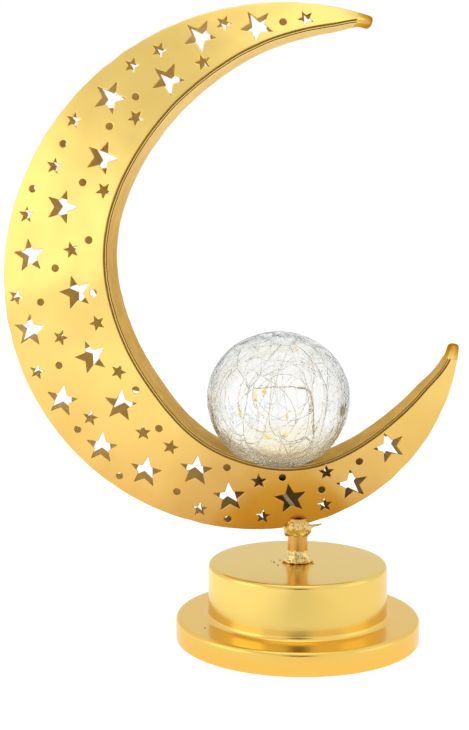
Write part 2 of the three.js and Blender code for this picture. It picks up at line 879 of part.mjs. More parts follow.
[-1, 1].forEach((side, i) => {
  const headTo = coverBottom - gap;
  addPiece(`cover_screw_${i + 1}`, screw({
    x: 0,
    y: side * coverScrewPlace,
    headFrom: headTo - coverScrewHeadHeight,
    headTo,
    tip: headTo + coverScrewLength,
    shank: coverScrewRadius,
    head: coverScrewHeadRadius,
  }), zinc);
});

// Bracket: a strap under the drum's top, with a leg and a foot on each side
function bracketOutline() {
  const outer = bracketLegPlace + bracketSheet;
  const footTop = coverTop + gap + bracketSheet;
  const right = [
    [outer + bracketFootLength, coverTop + gap],
    [outer + bracketFootLength, footTop],
    [outer, footTop],
    [outer, bracketTop],
  ];
  const rightInside = [
    [bracketLegPlace, bracketTop - bracketSheet],
    [bracketLegPlace, coverTop + gap],
  ];
  const mirror = (points) => points.map(([y, z]) => [-y, z]).reverse();
  return [...right, ...mirror(right), ...mirror(rightInside), ...rightInside];
}

function extrudeAlongX(outline, low, high) {
  const ring = (x) => outline.map(([y, z]) => new THREE.Vector3(x, y, z));
  return loft([ring(low), ring(high)], capFaces(outline));
}

addPiece('cover_bracket', cut(extrudeAlongX(bracketOutline(), -bracketWidth / 2, bracketWidth / 2), [
  bar(stemRadius + runningGap, bracketTop - 2 * bracketSheet, bracketTop + overshoot),
  ...coverScrewHoles,
]), zinc);

addPiece('lock_washer', turned([
  [stemRadius + runningGap, washerTop - washerThickness],
  [washerRadius, washerTop - washerThickness],
  [washerRadius, washerTop],
  [stemRadius + runningGap, washerTop],
  [stemRadius + runningGap, washerTop - washerThickness],
], midSides), zinc);

addPiece('lock_nut', cut(bar(nutRadius, nutTop - nutHeight, nutTop, { sides: 6 }), [
  bar(stemRadius + runningGap, nutTop - nutHeight - overshoot, nutTop + overshoot),
]), zinc);

// Bush that keeps the lead off the stem's lower edge
const bushBore = leadRadius + runningGap;
addPiece('stem_bush', turned([
  [bushBore, stemBottom - gap - bushFlange],
  [stemRadius, stemBottom - gap - bushFlange],
  [stemRadius, stemBottom - gap],
  [stemBore - gap, stemBottom - gap],
  [stemBore - gap, stemBottom + stemBelowNut],
  [bushBore, stemBottom + stemBelowNut],
  [bushBore, stemBottom - gap - bushFlange],
], midSides), blackPlastic);

// Battery box, open downwards over the door
const halfBox = boxLength / 2;
const halfInner = boxInnerLength / 2;
const cellPlaces = [boxMiddle - cellPitch / 2, boxMiddle + cellPitch / 2];
const nubEnd = halfInner - endRoom;

function tabSlot(x) {
  return block(
    [x - tabWidth / 2 - runningGap, halfInner - contactSheet - 2 * gap, boxInnerTop - overshoot],
    [x + tabWidth / 2 + runningGap, halfInner, boxTop + overshoot],
  );
}

const boxBlock = block([boxStart, -halfBox, boxBottom], [boxStart + boxWidth, halfBox, boxTop]);
addPiece('battery_box', cut(boxBlock, [
  block(
    [boxStart + boxWall, -halfInner, boxBottom - overshoot],
    [boxStart + boxWidth - boxWall, halfInner, boxInnerTop],
  ),
  ...cellPlaces.map(tabSlot),
]), blackPlastic);

// Cells, laid head to tail
cellPlaces.forEach((x, i) => {
  const nubUp = i === 0;
  const profile = [
    [0, nubEnd - cellLength],
    [cellRadius, nubEnd - cellLength],
    [cellRadius, nubEnd - cellNubLength],
    [cellNubRadius, nubEnd - cellNubLength],
    [cellNubRadius, nubEnd],
    [0, nubEnd],
  ];
  const cell = turned(profile, weldSides);
  cell.rotateX(nubUp ? -Math.PI / 2 : Math.PI / 2);
  cell.translate(x, 0, cellAxisHeight);
  addPiece(`battery_cell_${i + 1}`, cell, cellJacket);
});

// Contacts: a flat one, a sprung one, and a bridge that is flat for one cell and sprung for the other
const contactLow = cellAxisHeight - contactHeight / 2;
const contactHigh = cellAxisHeight + contactHeight / 2;
const contactFace = halfInner - gap - contactSheet;

function contactPlate(x, side, tab) {
  const near = Math.min(side * contactFace, side * (contactFace + contactSheet));
  const far = near + contactSheet;
  const plateBlock = block(
    [x - contactWidth / 2, near, contactLow],
    [x + contactWidth / 2, far, contactHigh],
  );
  if (!tab) {
    return plateBlock;
  }
  return join([
    plateBlock,
    block([x - tabWidth / 2, near, contactHigh - overshoot], [x + tabWidth / 2, far, boxTop + tabRise]),
  ]);
}

function contactLeaf(x, side) {
  const reach = contactFace - springReach;
  const fold = springReach / 3;
  const outline = [
    [contactFace + contactSheet / 2, contactLow],
    [contactFace + contactSheet / 2, contactLow + contactSheet],
    [reach + contactSheet, cellAxisHeight],
    [reach + fold + contactSheet, cellAxisHeight + contactHeight / 3],
    [reach + fold, cellAxisHeight + contactHeight / 3],
    [reach, cellAxisHeight],
    [contactFace - contactSheet, contactLow],
  ].map(([y, z]) => [side * y, z]);
  return extrudeAlongX(side > 0 ? outline : outline.reverse(), x - contactWidth / 3, x + contactWidth / 3);
}

addPiece('contact_plate', contactPlate(cellPlaces[0], 1, true), nickel);
addPiece('contact_spring', join([
  contactPlate(cellPlaces[1], 1, true),
  contactLeaf(cellPlaces[1], 1),
]), nickel);
addPiece('contact_bridge', join([
  contactPlate(cellPlaces[0], -1, false),
  contactPlate(cellPlaces[1], -1, false),
  contactLeaf(cellPlaces[0], -1),
  block(
    [cellPlaces[0], -contactFace - contactSheet, contactLow + bridgeInset],
    [cellPlaces[1], -contactFace, contactHigh - bridgeInset],
  ),
]), nickel);

// Battery door: a panel on a barrel, with a latch tongue and a thumb groove
const doorPanel = block(
  [doorStart, -halfBox, coverBottom],
  [hingeAxisX, halfBox, coverBottom + doorThickness],
);
const barrelRoom = [-1, 1].map((side) => block(
  [
    boxStart + boxWidth,
    Math.min(side * hingeBarrelLength / 2, side * (halfBox + overshoot)),
    coverBottom - overshoot,
  ],
  [
    hingeAxisX + overshoot,
    Math.max(side * hingeBarrelLength / 2, side * (halfBox + overshoot)),
    coverBottom + doorThickness + overshoot,
  ],
));
const doorBarrel = lyingBar(hingeBarrelRadius, -hingeBarrelLength / 2, hingeBarrelLength / 2, {
  x: hingeAxisX,
  z: hingeAxisZ,
  sides: midSides,
});
const latch = block(
  [boxStart + boxWall + gap, -latchWidth / 2, coverBottom + doorThickness / 2],
  [boxStart + boxWall + gap + latchThickness, latchWidth / 2, coverBottom + doorThickness + latchRise],
);
const grooveX = doorStart + 2 * grooveWidth;
addPiece('battery_door', cut(join([cut(doorPanel, barrelRoom), doorBarrel, latch]), [
  hingeBore,
  block(
    [grooveX - grooveWidth / 2, -grooveLength / 2, coverBottom - overshoot],
    [grooveX + grooveWidth / 2, grooveLength / 2, coverBottom + grooveDepth],
  ),
]), blackPlastic);

addPiece('door_hinge_pin', lyingBar(hingePinRadius, -earOuter, earOuter, {
  x: hingeAxisX,
  z: hingeAxisZ,
}), zinc);

// Circuit board with its timer chip and resistor
const boardHoles = [-1, 1].map((side) => bar(
  boardScrewRadius + runningGap,
  boardBottom - overshoot,
  boardTop + overshoot,
  { x: bossPlaceX, y: side * bossPlaceY, sides: fineSides },
));
addPiece('circuit_board', cut(block(
  [boardPlace - boardLength / 2, -boardWidth / 2, boardBottom],
  [boardPlace + boardLength / 2, boardWidth / 2, boardTop],
), boardHoles), boardGreen);

[-1, 1].forEach((side, i) => {
  addPiece(`board_screw_${i + 1}`, screw({
    x: bossPlaceX,
    y: side * bossPlaceY,
    headFrom: boardTop + gap,
    headTo: boardTop + gap + boardScrewHeadHeight,
    tip: boardTop + gap - boardScrewLength,
    shank: boardScrewRadius,
    head: boardScrewHeadRadius,
  }), zinc);
});

addPiece('timer_chip', block(
  [boardPlace - chipSize[0] / 2, bossPlaceY - chipSize[1], boardTop + gap],
  [boardPlace + chipSize[0] / 2, bossPlaceY, boardTop + gap + chipSize[2]],
), chipBlack);

const resistorEnds = [-bossPlaceY - resistorLength / 2, -bossPlaceY + resistorLength / 2];
const resistor = lyingBar(resistorRadius, ...resistorEnds, {
  x: boardPlace,
  z: boardTop + gap + resistorRadius,
});
addPiece('series_resistor', resistor, resistorTan);

// Slide switch under the board, with its knob through the cover
const switchBottom = coverTop + gap;
const switchTop = switchBottom + switchHeight;
const pinSpread = switchLength / 3;
const switchShell = cut(block(
  [switchPlace - switchWidth / 2, -switchLength / 2, switchBottom],
  [switchPlace + switchWidth / 2, switchLength / 2, switchTop],
), [block(
  [switchPlace - sliderWidth / 2 - gap, -sliderRoom, switchBottom - overshoot],
  [switchPlace + sliderWidth / 2 + gap, sliderRoom, switchTop - switchRoof],
)]);
addPiece('switch_body', join([
  switchShell,
  ...[-1, 0, 1].map((step) => bar(switchPinRadius, switchTop - switchRoof / 2, boardBottom - gap, {
    x: switchPlace,
    y: step * pinSpread,
    sides: fineSides,
  })),
]), blackPlastic);

const sliderMiddle = -sliderTravel / 2; // at rest the switch is off
addPiece('switch_slider', block(
  [switchPlace - sliderWidth / 2, sliderMiddle - sliderLength / 2, sliderLowest],
  [switchPlace + sliderWidth / 2, sliderMiddle + sliderLength / 2, switchTop - switchRoof - sliderTopGap],
), whitePlastic);

// Wires from the two end contacts to the board
const tabTop = boxTop + tabRise + gap;
const tabMiddle = contactFace + contactSheet / 2;
const padRow = boardWidth / 2 - wirePadInset;

// The wire leaves its tab straight up, bows over the box at its own height and comes down on the board
function contactWire(x, boardX, bow) {
  return lead([
    [x, tabMiddle, tabTop],
    [x, tabMiddle, tabTop + wireStraight],
    [x - 2 * wireStraight, tabMiddle - wireStraight, tabTop + bow],
    [(x + boardX) / 2, padRow + 2 * wireStraight, tabTop + bow],
    [boardX + wireStraight, padRow, tabTop],
    [boardX, padRow, boardTop + wireStraight],
    [boardX, padRow, boardTop + gap],
  ], wireLeadRadius, leadSides, wireLeadSteps);
}

addPiece('positive_wire', contactWire(cellPlaces[0], boardPlace + wirePads[0], wireBows[0]), redJacket);
addPiece('negative_wire', contactWire(cellPlaces[1], boardPlace + wirePads[1], wireBows[1]), chipBlack);

// Globe and what holds it
const neckBore = neckRadius - neckWall;
const innerRadius = globeRadius - glassWall;
const neckAngle = THREE.MathUtils.radToDeg(Math.acos(neckRadius / globeRadius));
const boreAngle = THREE.MathUtils.radToDeg(Math.acos(neckBore / innerRadius));
const slumped = ([r, z]) => [r, z > globe.z ? globe.z + (z - globe.z) * crownShare : z];
const outerArc = arcPoints([0, globe.z], globeRadius, -neckAngle, 90, globeSegments / 2).map(slumped);
const innerArc = arcPoints([0, globe.z], innerRadius, 90, -boreAngle, globeSegments / 2 - 1).map(slumped);
outerArc[outerArc.length - 1][0] = 0;
innerArc[0][0] = 0;
addPiece('glass_globe', turned([
  ...innerArc,
  [neckBore, neckEnd],
  [neckRadius, neckEnd],
  ...outerArc,
], globeSegments, { x: globe.x }), clearGlass);

const stationRun = seamLength / plateStations;
const facetSag = stationRun ** 2 / (8 * seamArcs[2].radius); // how far a flat facet dips off the true curve
const stripUnderside = wallAtGlobe.z - stripWall - facetSag;
const retainerTop = Math.min(
  stripUnderside - gap,
  globe.z - Math.sqrt(globeRadius ** 2 - (neckRadius + gap) ** 2) - gap,
);
addPiece('neck_retainer', turned([
  [neckRadius + gap, retainerTop - retainerHeight],
  [retainerRadius, retainerTop - retainerHeight],
  [retainerRadius, retainerTop],
  [neckRadius + gap, retainerTop],
  [neckRadius + gap, retainerTop - retainerHeight],
], weldSides, { x: globe.x }), clearRubber);

const plugBore = leadRadius + runningGap;
const plugTop = neckEnd + plugDepth;
addPiece('neck_plug', turned([
  [plugBore, neckEnd - gap - plugFlange],
  [neckRadius, neckEnd - gap - plugFlange],
  [neckRadius, neckEnd - gap],
  [neckBore - gap, neckEnd - gap],
  [neckBore - gap, plugTop],
  [plugBore, plugTop],
  [plugBore, neckEnd - gap - plugFlange],
], midSides, { x: globe.x }), clearRubber);

// Fairy-light wire: loops that tilt, turn and shrink, with a bead of resin round each light
function loopPlace(turns) {
  const phase = 2 * Math.PI * (turns - loopStartTurn);
  const tilt = THREE.MathUtils.degToRad(loopTilt + loopTiltSwing * Math.sin(loopSwingRate * turns));
  const spin = THREE.MathUtils.degToRad(loopPrecession * turns);
  const radius = firstLoopRadius - loopShrink * turns;
  return new THREE.Vector3(radius * Math.cos(phase), 0, radius * Math.sin(phase))
    .applyAxisAngle(new THREE.Vector3(1, 0, 0), Math.PI / 2 - tilt)
    .applyAxisAngle(new THREE.Vector3(0, 0, 1), spin);
}

function stringCentres() {
  const start = plugTop + gap - globe.z;
  const entry = [
    new THREE.Vector3(0, 0, start),
    new THREE.Vector3(0, 0, start + 2 * wireRadius),
    new THREE.Vector3(wireRadius, 0, start + 8 * wireRadius),
  ];
  const loops = [];
  for (let i = 0; i <= wireLoops * stepsPerLoop; i += 1) {
    loops.push(loopPlace(i / stepsPerLoop));
  }
  return [...entry, ...loops];
}

function beadSteps() {
  const steps = [];
  const spacing = stepsPerLoop / beadsPerLoop;
  for (let at = firstBead * spacing; at < wireLoops * stepsPerLoop - 2; at += spacing) {
    steps.push(Math.round(at));
  }
  return steps;
}

function stringRings() {
  const centres = stringCentres();
  const entryCount = centres.length - wireLoops * stepsPerLoop - 1;
  const beads = new Set(beadSteps().map((step) => step + entryCount));
  const points = [];
  const radii = [];
  centres.forEach((centre, i) => {
    if (!beads.has(i)) {
      points.push(centre);
      radii.push(wireRadius);
      return;
    }
    const along = centres[i + 1].clone().sub(centres[i - 1]).normalize();
    for (const [place, size] of beadShape) {
      points.push(centre.clone().addScaledVector(along, place * beadLength));
      radii.push(Math.max(size * beadRadius, wireRadius));
    }
  });
  return { points, radii };
}

// Least gap between two stretches of the wire that are not neighbours along it
function leastSelfGap(points, radii) {
  const parts = 6; // samples on each step of the wire
  const fine = [];
  for (let i = 0; i + 1 < points.length; i += 1) {
    for (let k = 0; k < parts; k += 1) {
      fine.push({
        place: points[i].clone().lerp(points[i + 1], k / parts),
        radius: radii[i] + ((radii[i + 1] - radii[i]) * k) / parts,
      });
    }
  }
  let run = 0;
  fine.forEach((sample, i) => {
    run += i === 0 ? 0 : sample.place.distanceTo(fine[i - 1].place);
    sample.run = run;
  });
  const apart = 12; // stretches nearer than this along the wire are the same bend
  let least = Infinity;
  for (let i = 0; i < fine.length; i += 1) {
    for (let j = i + 1; j < fine.length; j += 1) {
      if (fine[j].run - fine[i].run > apart) {
        const clear = fine[i].place.distanceTo(fine[j].place) - fine[i].radius - fine[j].radius;
        least = Math.min(least, clear);
      }
    }
  }
  return { least, length: run };
}

const string = stringRings();
const stringMeasure = leastSelfGap(string.points, string.radii);
console.log(`fairy light wire: ${stringMeasure.length.toFixed(0)} mm long, `
  + `least gap to itself ${stringMeasure.least.toFixed(2)} mm`);
const stringGeometry = tube(string.points, string.radii, wireSides);
stringGeometry.translate(globe.x, 0, globe.z);
addPiece('fairy_light_string', stringGeometry, brassWire);

// Lead that feeds the lights
addPiece('light_lead', lead([
  [boardLeadStart[0], boardLeadStart[1], boardTop + gap],
  [boardLeadStart[0], boardLeadStart[1], boardTop + leadStraight],
  [boardLeadStart[0] / 2, boardLeadStart[1] / 2, stemBottom - 2.5 * leadStraight],
  [0, 0, stemBottom - leadStraight],
  [0, 0, stemBottom],
  [0, 0, drumTop],
  [0, 0, seamBottom + leadStraight],
  [globe.x * leadLean, 0, seamBottom + 2 * leadStraight],
  [globe.x * (1 - leadLean), 0, neckEnd - 1.5 * leadStraight],
  [globe.x, 0, neckEnd - leadStraight / 2],
  [globe.x, 0, plugTop - gap],
], leadRadius, leadSides, leadSteps), leadJacket);

export default lamp;
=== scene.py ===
"""A crescent-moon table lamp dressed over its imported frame.

Metres, +Z up, the front faces -Y. Sizes below are in millimetres and turned into metres by MM.
"""

import math

import bmesh
import bpy
import numpy as np
from mathutils import Matrix, Vector, noise
from mathutils.geometry import delaunay_2d_cdt


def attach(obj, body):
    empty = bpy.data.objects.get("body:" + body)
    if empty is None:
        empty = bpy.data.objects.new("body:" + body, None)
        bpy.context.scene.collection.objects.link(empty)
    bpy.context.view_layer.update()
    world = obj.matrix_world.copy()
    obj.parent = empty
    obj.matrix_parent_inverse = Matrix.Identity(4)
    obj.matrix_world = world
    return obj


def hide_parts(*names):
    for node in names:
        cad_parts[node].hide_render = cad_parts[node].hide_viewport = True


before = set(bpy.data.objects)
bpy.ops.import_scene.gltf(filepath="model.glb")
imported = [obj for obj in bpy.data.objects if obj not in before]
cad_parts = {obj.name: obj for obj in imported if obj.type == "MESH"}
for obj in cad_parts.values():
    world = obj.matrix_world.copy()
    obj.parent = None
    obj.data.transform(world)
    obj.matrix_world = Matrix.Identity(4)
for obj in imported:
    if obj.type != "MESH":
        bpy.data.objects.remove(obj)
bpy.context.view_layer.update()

MM = 0.001

# Sizes of the frame that the finer pieces follow
GAP = 0.3
SEAM_ARCS = ((134.5, 93.6), (121.8, 105.9), (97.9, 84.6))
SEAM_START_HEADING = 161.7
STEM_SHARE = 0.7856
SHEET = 0.8
WIDEST_BAND = 53.1
BAND_SHARES = (
    (0, 0.05), (0.011, 0.075), (0.03, 0.162), (0.095, 0.373), (0.16, 0.568), (0.25, 0.759),
    (0.35, 0.884), (0.45, 0.982), (0.52, 1), (0.6, 0.941), (0.7, 0.732), (0.8, 0.547), (0.9, 0.397),
    (0.954, 0.238), (0.979, 0.114), (0.989, 0.074), (1, 0.05),
)
TIP_HALF_DEPTH = 5.25
HALF_DEPTH_PER_WIDTH = 0.315
TIP_SHARE = 0.011
DRUM_TOP = 37.4
STEM_SHOW = 18.3
STEM_RADIUS = 4.85
STEM_BORE = 3.4
STEM_RISE = 3.6
STEM_BOTTOM = 27.1
SEAM_BOTTOM = DRUM_TOP + STEM_SHOW
SEAM_FACE = GAP / 2 + SHEET

STRIP_WALL = 0.9
LIP_RISE = 2.1
STRIP_INSET = 1.4
LIP_SLOT = 0.7
SLOT_DEPTH = 0.6
FOLD_RISE = 1.35
FOLD_SLOT = 0.5
FOLD_DEPTH = 0.5
TONGUE = 1.4
TONGUE_ROOM = 0.35

BIG_STAR_RADIUS = 8.2
SMALL_STAR_RADIUS = 3.9
STAR_WAIST = 0.43
ROUND_HOLE_RADIUS = 1.75
BACK_PATTERN_PIVOT = (-60, 180)
BACK_PATTERN_SHIFT = (0.2, 0.28)
BACK_PATTERN_TURN = -0.0129
BACK_PATTERN_GROWTH = 0.99
CUT_MARGIN = 0.7
BIG_STARS = (
    (9.56, 0.567, 8), (14.58, 0.355, 10), (18.8, 0.683, 2), (24.12, 0.336, 60), (28.83, 0.693, 50),
    (35.06, 0.498, 38), (40.26, 0.256, 48), (43.79, 0.706, 48), (47, 0.196, 23), (51.39, 0.673, 31),
    (53.91, 0.222, 66), (57.79, 0.672, 58), (59.53, 0.239, 54), (64.16, 0.337, 37), (68.69, 0.665, 29),
    (72.52, 0.461, 29), (78.41, 0.494, 16), (84.35, 0.396, 69), (89.29, 0.601, 63),
)
STAR_OVER_STEM = (78.41, 0.494, 16)
SMALL_STARS = (
    (5.37, 0.618, 14), (12.31, 0.296, 20), (15.07, 0.791, 54), (18.22, 0.256, 8), (20.88, 0.216, 3),
    (23.52, 0.752, 46), (27.68, 0.179, 61), (31.66, 0.87, 25), (31.92, 0.26, 53), (36.77, 0.156, 47),
    (39.04, 0.678, 59), (43.92, 0.115, 13), (47.76, 0.842, 45), (48.31, 0.467, 2), (50.65, 0.134, 2),
    (54.46, 0.842, 54), (56.78, 0.355, 58), (61.72, 0.66, 55), (65.15, 0.744, 28), (70.06, 0.188, 29),
    (75.34, 0.783, 19), (75.66, 0.213, 12), (81.29, 0.242, 2), (82.74, 0.848, 68),
)
ROUND_HOLES = (
    (7.29, 0.629), (22.25, 0.569), (25.98, 0.564), (29.85, 0.229), (31.98, 0.624), (34.5, 0.135),
    (37.49, 0.845), (41.18, 0.521), (43.91, 0.873), (44.54, 0.351), (50.86, 0.357), (56.87, 0.181),
    (57.61, 0.887), (62.38, 0.124), (62.9, 0.814), (67.6, 0.307), (71.83, 0.87), (72.62, 0.133),
    (77.99, 0.878), (81.57, 0.545), (86.21, 0.753),
)

GLOBE_SHARE = 0.7774
GLOBE_SEAT_RISE = 0.6
GLOBE_RADIUS = 35
CROWN_SHARE = 0.93
GLASS_WALL = 1.5
GLOBE_SINK = 2.4
NECK_RADIUS = 9.5
NECK_WALL = 1.3
NECK_DROP = 4.5
PLUG_DEPTH = 5

FLANGE_RADIUS = 60
FLANGE_HEIGHT = 11.1
DRUM_RADIUS = 44
SHELL_WALL = 0.8
DRUM_EDGE_RADIUS = 2.2
FLANGE_EDGE_RADIUS = 2
ROOT_FILLET = 2.3

FIRST_LOOP_RADIUS = 27.6
LOOP_SHRINK = 2
LOOP_TILT = 72
LOOP_TILT_SWING = 14
LOOP_SWING_RATE = 1.7
LOOP_START_TURN = 0.18
LOOP_PRECESSION = 47
WIRE_LOOPS = 8
LOOP_STEPS = 72
WIRE_RADIUS = 0.12
STRAND_RADIUS = 0.3
BARE_RADIUS = 0.14
STRAND_OFFSET = 0.36
BARE_OFFSET = 0.2
LEAD_TWIST = 5.5
DROP_HALF_LENGTH = 1.8
DROP_THICKNESS = 0.95
BEADS_PER_LOOP = 1.1
FIRST_BEAD = 0.4


# Outer seam of the crescent

def seam_stretches():
    """Each arc of the seam: its centre, radius, start heading, length and the distance at which it starts."""
    stretches = []
    x = 0.0
    z = 0.0
    heading = math.radians(SEAM_START_HEADING)
    start = 0.0
    for radius, sweep in SEAM_ARCS:
        turn = math.radians(sweep)
        centre = (x - radius * math.sin(heading), z + radius * math.cos(heading))
        stretches.append((centre, radius, heading, radius * turn, start))
        heading += turn
        x = centre[0] + radius * math.sin(heading)
        z = centre[1] - radius * math.cos(heading)
        start += radius * turn
    return stretches


STRETCHES = seam_stretches()
SEAM_LENGTH = sum(stretch[3] for stretch in STRETCHES)


def seam_from_tip(share):
    distance = share * SEAM_LENGTH
    for centre, radius, heading, length, start in STRETCHES:
        if distance <= start + length or start + length >= SEAM_LENGTH - 1e-6:
            angle = heading + (distance - start) / radius
            return centre[0] + radius * math.sin(angle), centre[1] - radius * math.cos(angle), angle
    raise ValueError("no stretch of the seam holds this share")


STEM_PLACE = seam_from_tip(STEM_SHARE)


def seam(share):
    """Place and heading of the seam in the lamp's own frame."""
    x, z, heading = seam_from_tip(share)
    return x - STEM_PLACE[0], z - STEM_PLACE[1] + SEAM_BOTTOM, heading


def band_width(share):
    bounded = min(max(share, 0.0), 1.0)
    last = len(BAND_SHARES) - 1
    k = 0
    while k < last - 1 and bounded > BAND_SHARES[k + 1][0]:
        k += 1

    def slope(i):
        before = BAND_SHARES[max(i - 1, 0)]
        after = BAND_SHARES[min(i + 1, last)]
        return (after[1] - before[1]) / (after[0] - before[0])

    run = BAND_SHARES[k + 1][0] - BAND_SHARES[k][0]
    t = (bounded - BAND_SHARES[k][0]) / run
    value = (
        (1 + 2 * t) * (1 - t) ** 2 * BAND_SHARES[k][1]
        + t * (1 - t) ** 2 * run * slope(k)
        + t ** 2 * (3 - 2 * t) * BAND_SHARES[k + 1][1]
        + t ** 2 * (t - 1) * run * slope(k + 1)
    )
    return WIDEST_BAND * value


def half_depth(share):
    return TIP_HALF_DEPTH + HALF_DEPTH_PER_WIDTH * band_width(share)


def crescent_point(share, inward, y):
    x, z, heading = seam(share)
    return x - math.sin(heading) * inward, y, z + math.cos(heading) * inward


def on_the_band(x, z):
    """Share of the seam and distance in from it, for a place in the crescent's plane."""
    local = (x + STEM_PLACE[0], z - SEAM_BOTTOM + STEM_PLACE[1])
    best = None
    for centre, radius, heading, length, start in STRETCHES:
        across = (local[0] - centre[0], local[1] - centre[1])
        turn = math.atan2(across[0], -across[1]) - heading
        turn = (turn + math.pi) % (2 * math.pi) - math.pi
        sweep = length / radius
        if turn < -0.2:
            turn += 2 * math.pi
        miss = max(-turn, turn - sweep, 0.0)
        if best is None or miss < best[0]:
            share = (start + turn * radius) / SEAM_LENGTH
            best = (miss, share, radius - math.hypot(*across))
    return best[1], best[2]


# Mesh building

CUT_SHARP = 65
EDGE_SHARP = 50


def placed(name, data):
    """A new object in the scene, from a mesh or from a lamp's or camera's data."""
    made = bpy.data.objects.new(name, data)
    bpy.context.scene.collection.objects.link(made)
    return made


def mesh_of(name, points, faces):
    """A mesh from points in millimetres."""
    mesh = bpy.data.meshes.new(name)
    mesh.from_pydata([tuple(value * MM for value in point) for point in points], [], faces)
    return mesh


def make_piece(name, points, faces, material):
    """A smooth piece of the lamp's body from points in millimetres."""
    mesh = mesh_of(name, points, faces)
    mesh.validate()
    mesh.shade_smooth()
    piece = placed(name, mesh)
    mesh.materials.append(material)
    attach(piece, "lamp")
    return piece


def take_over(piece, node, sharp=None):
    """The piece stands in for a node of the frame; edges over sharp degrees stay crisp."""
    face_outwards(piece)
    if sharp is not None:
        piece.data.set_sharp_from_angle(angle=math.radians(sharp))
    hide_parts(node)


def add_part(points, faces, part):
    """Joins a part, which is its own points and faces, to the lists of a piece."""
    made, skin = part
    faces.extend(tuple(i + len(points) for i in face) for face in skin)
    points.extend(made)


def drift(x, y, z):
    """Smooth unevenness, from about -1 to 1."""
    return noise.noise(Vector((x, y, z)))


def loft(rings, closed_ends=True):
    """Points and faces of a skin over rings of points."""
    count = len(rings[0])
    points = [point for ring in rings for point in ring]
    faces = []
    for r in range(len(rings) - 1):
        for i in range(count):
            a = r * count + i
            b = r * count + (i + 1) % count
            faces.append((a, b, b + count, a + count))
    if closed_ends:
        faces.append(tuple(reversed(range(count))))
        last = (len(rings) - 1) * count
        faces.append(tuple(range(last, last + count)))
    return points, faces


def spun(profile, segments, place=(0, 0)):
    """A closed outline of (radius, height) points turned round an upright axis."""
    points = []
    faces = []
    count = len(profile)
    for s in range(segments):
        angle = 2 * math.pi * s / segments
        for radius, height in profile:
            points.append((place[0] + radius * math.cos(angle), place[1] + radius * math.sin(angle), height))
    for s in range(segments):
        following = (s + 1) % segments
        for i in range(count):
            j = (i + 1) % count
            faces.append((s * count + i, following * count + i, following * count + j, s * count + j))
    return points, faces


def arc(centre, radius, first, last, steps):
    """Points of an arc of a profile, in degrees."""
    angles = [math.radians(first + (last - first) * i / steps) for i in range(steps + 1)]
    return [(centre[0] + radius * math.cos(a), centre[1] + radius * math.sin(a)) for a in angles]


def wire(points, radii, sides):
    """A tube along points with its own radius at each, carried along without twist."""
    rings = []
    side = None
    for i, point in enumerate(points):
        before = points[max(i - 1, 0)]
        after = points[min(i + 1, len(points) - 1)]
        along = (after - before).normalized()
        if side is None:
            side = Vector((0, 1, 0)) if abs(along.y) < 0.9 else Vector((1, 0, 0))
        side = (side - along * side.dot(along)).normalized()
        other = along.cross(side)
        ring = []
        for k in range(sides):
            angle = 2 * math.pi * k / sides
            place = point + side * (radii[i] * math.cos(angle))
            ring.append(tuple(place + other * (radii[i] * math.sin(angle))))
        rings.append(ring)
    return loft(rings)


def face_outwards(piece):
    work = bmesh.new()
    work.from_mesh(piece.data)
    bmesh.ops.remove_doubles(work, verts=work.verts, dist=1e-6)
    bmesh.ops.recalc_face_normals(work, faces=work.faces)
    work.to_mesh(piece.data)
    work.free()


# Shaders

class Link:
    """A socket of a node tree. Sums of links and numbers add their Math nodes."""

    def __init__(self, tree, socket=None):
        self.tree = tree
        self.socket = socket

    def node(self, kind, settings=None, inputs=None, output=0):
        made = self.tree.nodes.new(kind)
        for name, value in (settings or {}).items():
            setattr(made, name, value)
        for name, value in (inputs or {}).items():
            if isinstance(value, Link):
                self.tree.links.new(value.socket, made.inputs[name])
            else:
                made.inputs[name].default_value = value
        return Link(self.tree, None if output is None else made.outputs[output])

    def math(self, operation, first, second=0.0):
        return self.node("ShaderNodeMath", {"operation": operation}, {0: first, 1: second})

    def __add__(self, other):
        return self.math("ADD", self, other)

    def __radd__(self, other):
        return self.math("ADD", other, self)

    def __sub__(self, other):
        return self.math("SUBTRACT", self, other)

    def __rsub__(self, other):
        return self.math("SUBTRACT", other, self)

    def __mul__(self, other):
        return self.math("MULTIPLY", self, other)

    def __rmul__(self, other):
        return self.math("MULTIPLY", other, self)

    def __pow__(self, other):
        return self.math("POWER", self, other)

    def __gt__(self, other):
        return self.math("GREATER_THAN", self, other)

    def clipped(self, low, high):
        """This value spread so that low becomes 0 and high becomes 1."""
        return self.node("ShaderNodeMapRange", {"clamp": True}, {0: self, 1: low, 2: high, 3: 0.0, 4: 1.0})

    def paint(self, under, over):
        """Colour under where this mask is 0, colour over where it is 1."""
        return self.node("ShaderNodeMix", {"data_type": "RGBA"}, {0: self, 6: under, 7: over}, 2)


def rgb(red, green, blue):
    return (red, green, blue, 1.0)


